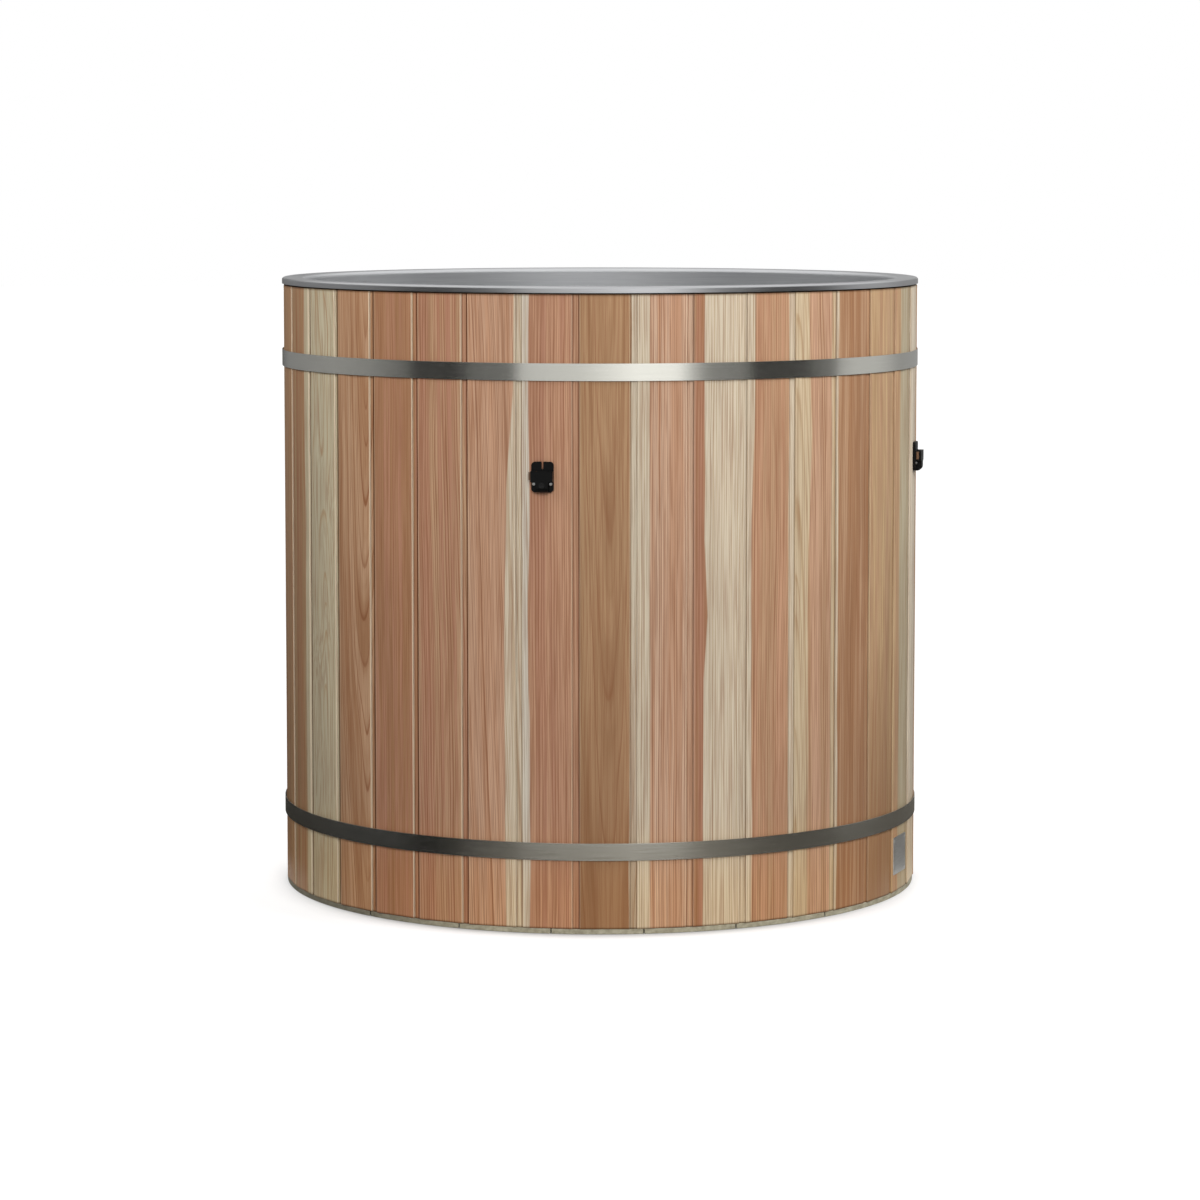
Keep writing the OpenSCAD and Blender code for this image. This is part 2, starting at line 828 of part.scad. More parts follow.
module valve_body() {
    barrel_z0 = valve_in + valve_hex_l;
    color(brass)
        on_drain() {
            difference() {
                union() {
                    translate([0, 0, valve_in])
                        hex_prism(valve_hex_w, valve_hex_l + cut);
                    translate([0, 0, barrel_z0])
                        cylinder(d = valve_d, h = barrel_end - barrel_z0);
                    translate([0, 0, ball_z])
                        rotate([-90, 0, 0])
                            cylinder(r = neck_r, h = neck_h);
                }
                translate([0, 0, valve_in - cut])
                    cylinder(r = drain_r + seat_gap, h = valve_thread_l + cut);
                cylinder(r = drain_bore_r, h = ball_z);
                translate([0, 0, ball_z])
                    sphere(cavity_r);
                translate([0, 0, ball_z])
                    cylinder(r = cavity_r + gap, h = ball_d);
                translate([0, 0, ball_z])
                    rotate([-90, 0, 0])
                        cylinder(d = stem_d + 2 * fit, h = neck_h + cut);
            }
            difference() {
                union() {
                    translate([0, 0, adapter_z0])
                        cylinder(r = cavity_r + gap - seat_gap, h = barrel_end - adapter_z0 + cut);
                    translate([0, 0, barrel_end + seat_gap])
                        cylinder(d = collar_d, h = collar_t);
                    translate([0, 0, barrel_end])
                        cylinder(r = drain_r, h = outlet_z1 - barrel_end);
                }
                translate([0, 0, ball_z])
                    sphere(cavity_r);
                translate([0, 0, ball_z])
                    cylinder(r = drain_bore_r, h = outlet_z1);
            }
        }
}

// The ball is closed at rest: its bore lies across the water way
module valve_ball() {
    color(steel)
        on_drain()
            translate([0, 0, ball_z])
                difference() {
                    sphere(d = ball_d);
                    rotate([0, 90, 0])
                        cylinder(r = drain_bore_r, h = 2 * ball_d, center = true);
                    translate([-stem_d / 2, ball_d / 2 - tang_l - seat_gap, -tang_t / 2 - seat_gap])
                        cube([stem_d, ball_d, tang_t + 2 * seat_gap]);
                }
}

module valve_lever() {
    tang_y = ball_d / 2 - tang_l;
    grip_x = -lever_l - grip_wall;
    color(steel)
        on_drain()
            translate([0, 0, ball_z]) {
                translate([-stem_d / 2 + gap, tang_y, -tang_t / 2])
                    cube([stem_d - 2 * gap, stem_y0 - tang_y + cut, tang_t]);
                translate([0, stem_y0, 0])
                    rotate([-90, 0, 0])
                        cylinder(d = stem_d, h = stem_top - stem_y0);
                difference() {
                    union() {
                        translate([0, lever_y, 0])
                            rotate([-90, 0, 0])
                                cylinder(d = lever_w + 2 * lever_eye, h = lever_t);
                        translate([-lever_l, lever_y, -lever_w / 2])
                            cube([lever_l, lever_t, lever_w]);
                    }
                    translate([0, lever_y - cut, 0])
                        rotate([-90, 0, 0])
                            cylinder(d = stem_d + 2 * fit, h = lever_t + 2 * cut);
                }
                translate([0, lever_y + lever_t + seat_gap, 0])
                    rotate([-90, 0, 0])
                        difference() {
                            hex_prism(lever_nut_w, lever_nut_t);
                            translate([0, 0, -cut])
                                cylinder(d = stem_d + 2 * fit, h = lever_nut_t + 2 * cut);
                        }
            }
    color(grip_blue)
        on_drain()
            translate([0, 0, ball_z])
                difference() {
                    translate([grip_x, lever_y - grip_wall, -lever_w / 2 - grip_wall])
                        cube([grip_l, lever_t + 2 * grip_wall, lever_w + 2 * grip_wall]);
                    translate([-lever_l - seat_gap, lever_y - seat_gap, -lever_w / 2 - seat_gap])
                        cube([lever_l, lever_t + 2 * seat_gap, lever_w + 2 * seat_gap]);
                }
}

for (k = [0:stave_count - 1])
    stave(k);
liner();
foam_jacket();
upper_hoop();
lower_hoop();
base_boards();
fasteners();
for (i = [0:latch_n - 1]) {
    on_latch(i) latch_housing();
    on_latch(i) latch_tab();
    on_latch(i) latch_lock();
}
plain_plate();
drain_fitting();
valve_body();
valve_ball();
valve_lever();
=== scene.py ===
# %% [markdown]
# A cedar barrel with a steel plunge tub inside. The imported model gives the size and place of
# every piece, in metres, with the barrel's axis on Z, the floor at Z = 0 and the front facing -Y.
# The lesson dresses that frame: each piece is shaped with Blender's own tools, then gets a finish
# built from nodes. Turns are counted from the front, positive towards +X.

# %% Load the frame
import math

import bmesh
import bpy
from mathutils import Matrix, Vector


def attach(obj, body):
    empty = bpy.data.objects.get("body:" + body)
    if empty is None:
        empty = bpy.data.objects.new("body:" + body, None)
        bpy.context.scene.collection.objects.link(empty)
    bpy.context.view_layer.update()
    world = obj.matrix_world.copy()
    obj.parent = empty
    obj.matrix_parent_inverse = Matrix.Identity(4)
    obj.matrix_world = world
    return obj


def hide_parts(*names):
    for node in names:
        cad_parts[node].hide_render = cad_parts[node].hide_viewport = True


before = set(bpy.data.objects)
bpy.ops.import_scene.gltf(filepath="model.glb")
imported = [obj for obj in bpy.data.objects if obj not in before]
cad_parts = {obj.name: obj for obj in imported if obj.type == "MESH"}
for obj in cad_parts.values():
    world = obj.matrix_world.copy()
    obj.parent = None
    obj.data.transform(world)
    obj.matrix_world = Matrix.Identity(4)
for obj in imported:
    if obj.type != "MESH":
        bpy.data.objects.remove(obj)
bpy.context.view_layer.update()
print("pieces in the frame:", len(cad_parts))

# %% [markdown]
# Sizes that several cells share. They repeat the barrel's own drawing, because the pieces made
# here have to land on the frame's pieces.

# %% Shared sizes
MM = 0.001
STAVES = 37
PITCH = math.radians(360 / STAVES)
HALF = PITCH / 2
SEAM_TURN = math.radians(-3.5)
CORNER_R = 532 * MM
FACE_R = CORNER_R * math.cos(HALF)
STAVE_T = 20 * MM
STAVE_Z0, STAVE_Z1 = 8 * MM, 1004 * MM
SEAM_GAP = 0.6 * MM
RIM_R = 533.2 * MM
FOAM_ROOM = 13.6 * MM
SHEET_T = 1.5 * MM
TUB_R = FACE_R - STAVE_T - FOAM_ROOM - SHEET_T
TUB_FLOOR_Z = 50.6 * MM
TUB_TOP_Z = 1016 * MM


def stave_turn(k):
    """Turn of the middle of stave k; stave 0 is the one right of the front seam."""
    return SEAM_TURN + HALF + PITCH * k


print("face radius %.1f mm, tub radius %.1f mm" % (FACE_R / MM, TUB_R / MM))

# %% [markdown]
# Every piece is modelled the way it is done by hand: a primitive, a few edit-mode tools, then
# modifiers that are applied. An operator works on all that is selected, so each piece starts with
# nothing selected, and faces or edges are picked by where they are.

# %% Modelling helpers
def nothing_selected():
    """Goes back to object mode and deselects everything."""
    if bpy.context.mode != "OBJECT":
        bpy.ops.object.mode_set(mode="OBJECT")
    bpy.ops.object.select_all(action="DESELECT")


def only(piece):
    """Selects one piece and nothing else."""
    nothing_selected()
    piece.select_set(True)
    bpy.context.view_layer.objects.active = piece


def begin(name):
    """Names the primitive that was just added and opens it in edit mode with nothing selected."""
    piece = bpy.context.object
    piece.name = piece.data.name = name
    bpy.ops.object.transform_apply(location=True, rotation=True, scale=True)
    bpy.ops.object.mode_set(mode="EDIT")
    bpy.ops.mesh.select_all(action="DESELECT")
    return piece


def pick(kind, test):
    """Selects the verts, edges or faces of the open mesh whose middle and normal pass test. For
    an edge, test gets its direction in place of a normal."""
    bpy.ops.mesh.select_mode(type={"verts": "VERT", "edges": "EDGE", "faces": "FACE"}[kind])
    bpy.ops.mesh.select_all(action="DESELECT")
    mesh = bmesh.from_edit_mesh(bpy.context.object.data)
    count = 0
    for part in getattr(mesh, kind):
        if kind == "verts":
            middle, normal = part.co, part.normal
        elif kind == "edges":
            start, end = part.verts[0].co, part.verts[1].co
            middle, normal = (start + end) / 2, (end - start).normalized()
        else:
            middle, normal = part.calc_center_median(), part.normal
        if test(middle, normal):
            part.select_set(True)
            count += 1
    mesh.select_flush_mode()
    bmesh.update_edit_mesh(bpy.context.object.data)
    return count


def cut(point, normal, **options):
    """Bisects the whole open mesh with a plane."""
    bpy.ops.mesh.select_all(action="SELECT")
    bpy.ops.mesh.bisect(plane_co=point, plane_no=normal, **options)
    bpy.ops.mesh.select_all(action="DESELECT")


def modify(piece, kind, **settings):
    """Adds a modifier with its settings and applies it."""
    only(piece)
    modifier = piece.modifiers.new(kind.lower(), kind)
    for key, value in settings.items():
        setattr(modifier, key, value)
    bpy.ops.object.modifier_apply(modifier=modifier.name)


def ease(piece, width, segments=2, angle=60):
    """Rounds every edge that is sharper than an angle with a narrow bevel."""
    modify(piece, "BEVEL", width=width, segments=segments, limit_method="ANGLE",
           angle_limit=math.radians(angle))


def smooth(piece, angle, level_faces=False):
    """Smooth shading under an angle. level_faces keeps flat faces flat up to their eased edges."""
    only(piece)
    bpy.ops.object.shade_smooth_by_angle(angle=math.radians(angle))
    if level_faces:
        modify(piece, "WEIGHTED_NORMAL", keep_sharp=True)


def close(piece, angle=30):
    """Leaves edit mode with all faces pointing outwards and smooth shading."""
    bpy.ops.mesh.select_all(action="SELECT")
    bpy.ops.mesh.normals_make_consistent(inside=False)
    bpy.ops.object.mode_set(mode="OBJECT")
    smooth(piece, angle)
    return piece


def join(pieces):
    """Makes one piece of several, named as the first."""
    only(pieces[0])
    for piece in pieces:
        piece.select_set(True)
    bpy.ops.object.join()
    return bpy.context.object


def turned_copy(pattern, name, turn):
    """A copy with its own mesh, turned about the barrel's axis, its object left at the origin."""
    copy = pattern.copy()
    copy.data = pattern.data.copy()
    copy.name = copy.data.name = name
    copy.data.transform(Matrix.Rotation(turn, 4, "Z"))
    bpy.context.collection.objects.link(copy)
    return copy


def dress(piece, body, finish, nodes):
    """Gives a piece its finish, ties it to its body and lets it stand for nodes of the frame."""
    piece.data.materials.clear()
    piece.data.materials.append(finish)
    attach(piece, body)
    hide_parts(*nodes)


# %% [markdown]
# Materials are node trees. Colours are written as sRGB hex values, as a paint chart gives them,
# and turned to linear light by one function. Another adds a node, sets it and wires it. Every Mix
# node here mixes colours: it has its factor at input 0, the two colours at 6 and 7, and the mixed
# colour at output 2.

# %% Material helpers
def linear(hex_colour):
    """sRGB hex to the linear RGBA that shaders work in."""
    channels = [int(hex_colour[i:i + 2], 16) / 255 for i in (1, 3, 5)]
    return [c / 12.92 if c <= 0.04045 else ((c + 0.055) / 1.055) ** 2.4 for c in channels] + [1.0]


def material(name):
    """A node material with its shader already wired to the output."""
    made = bpy.data.materials.new(name)
    made.use_nodes = True
    return made, made.node_tree, made.node_tree.nodes["Principled BSDF"]


def wire(tree, made, inputs):
    """Sets inputs of a node. Another node's output is wired in; anything else is a fixed value."""
    for socket, value in inputs.items():
        if isinstance(value, bpy.types.NodeSocket):
            tree.links.new(value, made.inputs[socket])
        else:
            made.inputs[socket].default_value = value


def node(tree, kind, inputs, stops=(), **settings):
    """Adds a node with its settings and inputs and returns its outputs. stops are a colour ramp's
    (place, tone) pairs, where a tone is a grey from 0 to 1 or a hex value."""
    made = tree.nodes.new("ShaderNode" + kind)
    if kind == "Mix":
        made.data_type = "RGBA"
    for key, value in settings.items():
        setattr(made, key, value)
    wire(tree, made, inputs)
    for i, (place, tone) in enumerate(stops):
        if i == len(made.color_ramp.elements):
            made.color_ramp.elements.new(place)
        point = made.color_ramp.elements[i]
        point.position = place
        point.color = linear(tone) if isinstance(tone, str) else (tone, tone, tone, 1)
    return made.outputs


def from_axis(tree, place):
    """Distance of each point from the Z axis."""
    level = node(tree, "VectorMath", {0: place, 1: (1, 1, 0)}, operation="MULTIPLY")[0]
    return node(tree, "VectorMath", {0: level}, operation="LENGTH")["Value"]


# %% [markdown]
# The camera stands 6.6 metres from the barrel's axis and a little above the rim, with a long lens,
# so the barrel's sides look almost parallel and the mouth is a thin ellipse. It is tipped down by
# five degrees.

# %% Camera
CAMERA_BACK, CAMERA_Z = 6.6087, 1.2161
TIPPED_DOWN = 5.0556
bpy.ops.object.camera_add(location=(0, -CAMERA_BACK, CAMERA_Z),
                          rotation=(math.radians(90 - TIPPED_DOWN), 0, 0))
camera = bpy.context.object
camera.data.lens = 117.757
camera.data.sensor_width = 36
camera.data.shift_y = -0.08
bpy.context.scene.camera = camera
bpy.context.scene.view_settings.view_transform = "Standard"
print("camera %.1f m from the axis, tipped down %.1f degrees" % (CAMERA_BACK, TIPPED_DOWN))

# %% [markdown]
# Western red cedar, planed and oiled. A board is cut from a log, so its figure is a slice through
# growth rings: cylinders about a pith that lies beside or behind the board. A far pith gives
# straight lines, a near one with a slight lean gives arches. The rings are drawn that way in solid
# space, in each stave's own frame, and the paler sapwood runs along one or both edges. A ring is
# 3 to 8 mm wide.

# %% Cedar tones
TONES = {
    "brown": "#A27958", "umber": "#8B6141", "olive": "#A58A67", "salmon": "#C19678",
    "rose": "#B2836A", "tan": "#BA9676", "blush": "#C9A387", "peach": "#CFAE94",
    "straw": "#C6AA82", "flax": "#CBB899", "cream": "#D3C6AF", "pale": "#E6DBC6",
    "grey_cream": "#BBB196", "ash": "#D6CFC0", "bark": "#96704F", "hazel": "#B08C69",
}
LATE_WOOD = "#875638"
LATE_SAPWOOD = "#A48159"


def uneven(tree, source, rate, shift=0.0, detail=1.0):
    """Smooth noise along one value; rate is in bumps per unit."""
    scaled = node(tree, "Math", {0: source, 1: rate}, operation="MULTIPLY")[0]
    moved = node(tree, "Math", {0: scaled, 1: shift}, operation="ADD")[0]
    return node(tree, "TexNoise", {"W": moved, "Scale": 1.0, "Detail": detail},
                noise_dimensions="1D")["Fac"]


# %% Growth rings
WANDER_RATE = (9, 9, 1.6)
RING_UNEVEN, STRENGTH_UNEVEN = 60, 95
# How dark the wood is from the start of a ring to its end.
WIDE_LINE = [(0.0, 0.2), (0.1, 0.0), (0.5, 0.03), (0.72, 0.35), (0.88, 1.0), (0.95, 0.8),
             (1.0, 0.2)]
THIN_LINE = [(0.0, 0.1), (0.04, 0.0), (0.74, 0.05), (0.86, 0.4), (0.93, 1.0), (0.97, 0.9),
             (1.0, 0.1)]


def ring_radius(tree, board, pith, lean, wander, seed):
    """The board's coordinates with the wood's slow wander in them, and the distance from the
    log's pith, in metres, at each point."""
    drift = node(tree, "Mapping", {"Vector": board, "Scale": WANDER_RATE,
                                   "Location": (seed * 3.1, seed * 1.7, seed * 0.9)})[0]
    slow = node(tree, "TexNoise", {"Vector": drift, "Scale": 1.0, "Detail": 2.0})["Color"]
    centred = node(tree, "VectorMath", {0: slow, 1: (-0.5, -0.5, -0.5)})[0]
    sway = node(tree, "VectorMath", {0: centred, 1: (wander * 4 * MM, wander * 3 * MM, 0)},
                operation="MULTIPLY")[0]
    warped = node(tree, "VectorMath", {0: board, 1: sway})[0]
    log = node(tree, "Mapping", {
        "Vector": warped, "Rotation": (math.atan(lean[1] * MM), math.atan(lean[0] * MM), 0),
        "Location": (-pith[0] * MM, pith[1] * MM, 0)})[0]
    return warped, from_axis(tree, log)


def late_wood(tree, radius, ring, lines, thin):
    """The dark line that ends each ring, from 0 to 1, with rings of uneven width and strength.
    Where the pith is near, the face cuts the rings at a slant and the lines have to be thin."""
    even = node(tree, "Math", {0: radius, 1: 1 / (ring * MM)}, operation="MULTIPLY")[0]
    shift = node(tree, "Math", {0: uneven(tree, radius, RING_UNEVEN), 1: 3.0},
                 operation="MULTIPLY")[0]
    count = node(tree, "Math", {0: even, 1: shift}, operation="ADD")[0]
    within = node(tree, "Math", {0: count, 1: 0.0}, operation="FRACT")[0]
    line = node(tree, "ValToRGB", {"Fac": within}, THIN_LINE if thin else WIDE_LINE)["Color"]
    strength = node(tree, "MapRange", {
        "Value": uneven(tree, radius, STRENGTH_UNEVEN, 7.0, 2.0), "From Min": 0.3,
        "From Max": 0.7, "To Min": 0.35 * lines, "To Max": 1.4 * lines})[0]
    return node(tree, "Math", {0: line, 1: strength}, operation="MULTIPLY")[0]


# %% Sapwood and seams
# Places across a board, in mm from its middle: its edge, the start of the sunk strip, how far the
# strip's corner darkened with dirt and painted shade reaches, and how far the marks of a seam are
# drawn.
EDGE_X, STRIP_X, CORNER_X, MARKS_X = 44.8, 34.8, 37, 46
# The pale sapwood's width is measured from SAP_FROM, its edge is soft by SAP_BLUR either way, and
# SAP_MOST is the widest that a list may ask for, all in mm.
SAP_FROM = 44.6
SAP_BLUR = 1.3
SAP_MOST = 90
# Pale of wear on the left arris and of painted highlight on the slope down to the sunk strip.
EDGE_WEAR_AND_HIGHLIGHT = "#EBD9BD"
# Dark of dirt and of painted shade in the sunk strip's outer part and inner corner.
DIRT_AND_SHADE = (0.3, 0.21, 0.15, 1)
# How wide in mm the dirt and painted shade are at the front, and how they spread with a seam's
# turn to the left, in radians, where the next board shades more of the strip.
DIRT_AND_SHADE_WIDE, DIRT_AND_SHADE_SPREAD = 1.9, 2.5
LEFT_RATE, LEFT_MOST, LEFT_FULL = 1.07, 1.34, 0.6


def sapwood(tree, x, z, side, width, wander, seed):
    """Mask of the pale edge on one side, 1 or -1. width is in mm, or pairs of (height in m, mm)."""
    noise = uneven(tree, z, 2.4, seed * 1.3, 2.0)
    sway = node(tree, "Math", {0: noise, 1: 0.5}, operation="SUBTRACT")[0]
    shift = node(tree, "Math", {0: sway, 1: 2.2 * wander * MM}, operation="MULTIPLY")[0]
    swayed = node(tree, "Math", {0: x, 1: shift}, operation="ADD")[0]
    sided = node(tree, "Math", {0: swayed, 1: side}, operation="MULTIPLY")[0]
    inwards = node(tree, "Math", {0: SAP_FROM * MM, 1: sided}, operation="SUBTRACT")[0]
    if isinstance(width, list):
        outline = [(height, mm / SAP_MOST) for height, mm in width]
        sketched = node(tree, "ValToRGB", {"Fac": z}, outline)["Color"]
        sketched = node(tree, "Math", {0: sketched, 1: SAP_MOST * MM}, operation="MULTIPLY")[0]
        inwards = node(tree, "Math", {0: inwards, 1: sketched}, operation="SUBTRACT")[0]
        width = 0
    return node(tree, "MapRange", {
        "Value": inwards, "From Min": (width - SAP_BLUR) * MM, "From Max": (width + SAP_BLUR) * MM,
        "To Min": 1.0, "To Max": 0.0}, interpolation_type="SMOOTHSTEP")[0]


def seam_marks(tree, x, colour, turn, seam, corner):
    """The slope down to the sunk strip gets a painted highlight, the board's left arris a pale mark
    of wear and painted highlight, and the strip's outer part and inner corner are darkened with
    dirt and painted shade. Towards the barrel's left the painted highlight is stronger and the
    dark takes up more of the strip, where the next board shades it."""
    # Each board's turn to the left strengthens the painted highlight and widens the painted shade.
    left = min(max(-LEFT_RATE * math.remainder(turn + HALF, 2 * math.pi), 0), LEFT_MOST)
    slope = 0.3 + 0.7 * min(left / LEFT_FULL, 1)
    dirt_and_shade_x = max(EDGE_X - DIRT_AND_SHADE_SPREAD * math.tan(left) - DIRT_AND_SHADE_WIDE / math.cos(left),
                 STRIP_X + 0.1)
    # Painted highlight on the slope; pale of wear and painted highlight on the left arris.
    wear_and_highlight_marks = [(-45.5, 0.0), (-44.4, 0.25), (-43.4, 0.2), (-42.4, 0.0),
                  (32.0, 0.0), (32.8, slope), (34.6, slope), (34.9, 0.0)]
    # Dirt and painted shade in the strip's outer part and inner corner.
    dirt_and_shade_marks = [(dirt_and_shade_x, 0.0), (dirt_and_shade_x + 0.7, seam), (45, seam)]
    if dirt_and_shade_x > CORNER_X:
        dirt_and_shade_marks = [(34.8, 0.0), (35.1, corner), (36.0, corner), (36.8, 0.0)] + dirt_and_shade_marks
    place = node(tree, "MapRange", {"Value": x, "From Min": -MARKS_X * MM,
                                    "From Max": MARKS_X * MM})[0]
    face = colour
    for marks, tint, share, mode in ((wear_and_highlight_marks, linear(EDGE_WEAR_AND_HIGHLIGHT), 0.6, "MIX"),
                                     (dirt_and_shade_marks, DIRT_AND_SHADE, 1.0, "MULTIPLY")):
        stops = [((mm + MARKS_X) / (2 * MARKS_X), tone) for mm, tone in marks]
        mask = node(tree, "ValToRGB", {"Fac": place}, stops)["Color"]
        tinted = node(tree, "Mix", {0: share, 6: face, 7: tint}, blend_type=mode)[2]
        colour = node(tree, "Mix", {0: mask, 6: colour, 7: tinted})[2]
    return colour


# %% Heartwood, age, end grain and painted shade at the ends
CLOUD_RATE = (25, 25, 2.5)
WARMED = (1.16, 1.08, 0.94, 1)
# Shares of a stave's height: its two ends are end grain, a millimetre or two of them in view,
# darkened as end grain and with painted shade under the rim's lip and at the foot.
END_GRAIN_AND_SHADE = [(0.0, 1.0), (0.0012, 1.0), (0.002, 0.0), (0.9984, 0.0), (0.999, 1.0), (1.0, 1.0)]
# Darker end grain, and painted shade under the rim's lip and over the base.
SOAKED_AND_SHADED = (0.3, 0.26, 0.22, 1)


def heartwood(tree, radius, z, heart, streak, seed):
    """Two tones of heartwood that change over slowly from ring to ring."""
    place = node(tree, "CombineXYZ", {
        "X": node(tree, "Math", {0: radius, 1: 90}, operation="MULTIPLY")[0],
        "Y": node(tree, "Math", {0: z, 1: 0.9}, operation="MULTIPLY")[0], "Z": seed * 2.3})[0]
    tone = node(tree, "TexNoise", {"Vector": place, "Scale": 1.0, "Detail": 4.0,
                                   "Roughness": 0.65})["Fac"]
    share = node(tree, "MapRange", {"Value": tone, "From Min": 0.38, "From Max": 0.62},
                 interpolation_type="SMOOTHSTEP")[0]
    return node(tree, "Mix", {0: share, 6: linear(TONES[heart]), 7: linear(TONES[streak])})[2]


def aged(tree, colour, board, z, foot, seed):
    """Broad clouds dull the board here and there, its lowest fifth is warmer, and some boards are
    darker towards the floor."""
    broad = node(tree, "Mapping", {"Vector": board, "Scale": CLOUD_RATE,
                                   "Location": (seed, 0, 0)})[0]
    cloud = node(tree, "TexNoise", {"Vector": broad, "Scale": 1.0, "Detail": 2.0})["Fac"]
    dulled = node(tree, "ValToRGB", {"Fac": cloud}, [(0.3, 0.88), (0.7, 1.0)])["Color"]
    colour = node(tree, "Mix", {0: 1.0, 6: colour, 7: dulled}, blend_type="MULTIPLY")[2]
    lowest = node(tree, "MapRange", {"Value": z, "From Min": 0.04, "From Max": 0.2, "To Min": 1.0,
                                     "To Max": 0.0}, interpolation_type="SMOOTHSTEP")[0]
    warmed = node(tree, "Mix", {0: 1.0, 6: colour, 7: WARMED}, blend_type="MULTIPLY")[2]
    colour = node(tree, "Mix", {0: lowest, 6: colour, 7: warmed})[2]
    if not foot:
        return colour
    low = node(tree, "MapRange", {"Value": z, "From Min": 0.05, "From Max": 0.55, "To Min": foot,
                                  "To Max": 0.0}, interpolation_type="SMOOTHSTEP")[0]
    return node(tree, "Mix", {0: low, 6: colour, 7: linear(TONES["umber"])})[2]


def end_grain_and_shade(tree, colour, z):
    """The two sawn ends drink the oil and are darker, with painted shade on them under the rim's
    lip and at the foot.
    """
    height = node(tree, "MapRange", {"Value": z, "From Min": STAVE_Z0, "From Max": STAVE_Z1})[0]
    ends = node(tree, "ValToRGB", {"Fac": height}, END_GRAIN_AND_SHADE)["Color"]
    soaked_and_shaded = node(tree, "Mix", {0: 1.0, 6: colour, 7: SOAKED_AND_SHADED}, blend_type="MULTIPLY")[2]
    return node(tree, "Mix", {0: ends, 6: colour, 7: soaked_and_shaded})[2]


# %% Cedar finish
FIBRE_RATE = (480, 480, 7)


def cedar(name, turn, heart, streak, sap="cream", ring=6.0, pith=(260, 40), lean=(0, 0),
          sap_left=0, sap_right=0, lines=0.5, thin=False, wander=5, seam=0.6, corner=0.35,
          foot=0.0, seed=0):
    """One stave's cedar. heart, streak and sap name its tones. Sizes are in mm: ring is the width
    of a ring, pith is across and behind the face, lean is the pith's shift over a metre of height,
    sap_left and sap_right are the widths of the pale edges, and wander is how unevenly the rings
    run. lines is the strength of the ring lines and thin makes them narrow. seam and corner are
    how dark the sunk strip is outside and inside, with dirt and painted shade, and foot how much
    darker the board's foot is."""
    made, tree, shader = material(name)
    place = node(tree, "TexCoord", {})["Object"]
    board = node(tree, "Mapping", {"Vector": place, "Rotation": (0, 0, -turn),
                                   "Location": (0, FACE_R, 0)})[0]
    parts = node(tree, "SeparateXYZ", {0: board})
    x, z = parts["X"], parts["Z"]
    warped, radius = ring_radius(tree, board, pith, lean, wander, seed)
    late = late_wood(tree, radius, ring, lines, thin)

    colour = heartwood(tree, radius, z, heart, streak, seed)
    line_tone = linear(LATE_WOOD)
    for side, width in ((1, sap_right), (-1, sap_left)):
        if width:
            mask = sapwood(tree, x, z, side, width, wander, seed)
            colour = node(tree, "Mix", {0: mask, 6: colour, 7: linear(TONES[sap])})[2]
            line_tone = node(tree, "Mix", {0: mask, 6: line_tone, 7: linear(LATE_SAPWOOD)})[2]
    colour = node(tree, "Mix", {0: late, 6: colour, 7: line_tone})[2]

    # Fine dark fibres run up the board, about 2 mm apart.
    thread = node(tree, "Mapping", {"Vector": warped, "Scale": FIBRE_RATE})[0]
    fibre = node(tree, "TexNoise", {"Vector": thread, "Scale": 1.0, "Detail": 3.0})["Fac"]
    dark_fibre = node(tree, "MapRange", {"Value": fibre, "From Min": 0.45, "From Max": 0.62,
                                         "To Min": 0.0, "To Max": 0.42})[0]
    colour = node(tree, "Mix", {0: dark_fibre, 6: colour, 7: linear(LATE_WOOD)})[2]
    colour = aged(tree, colour, board, z, foot, seed)
    colour = end_grain_and_shade(tree, seam_marks(tree, x, colour, turn, seam, corner), z)

    raised = node(tree, "Math", {0: fibre, 1: 0.6}, operation="MULTIPLY")[0]
    sunk = node(tree, "Math", {0: late, 1: 0.4}, operation="MULTIPLY")[0]
    height = node(tree, "Math", {0: raised, 1: sunk}, operation="SUBTRACT")[0]
    rough = node(tree, "MapRange", {"Value": fibre, "From Min": 0.3, "From Max": 0.7,
                                    "To Min": 0.45, "To Max": 0.62})[0]
    relief = node(tree, "Bump", {"Height": height, "Strength": 0.25, "Distance": 0.15 * MM})[0]
    wire(tree, shader, {"Base Color": colour, "Roughness": rough, "Specular IOR Level": 0.2,
                        "Normal": relief})
    return made


# %% [markdown]
# Each stave is a different board. The seventeen that face the camera follow the ones in the
# picture, from left to right, and the ones behind are drawn from the same few kinds of board.

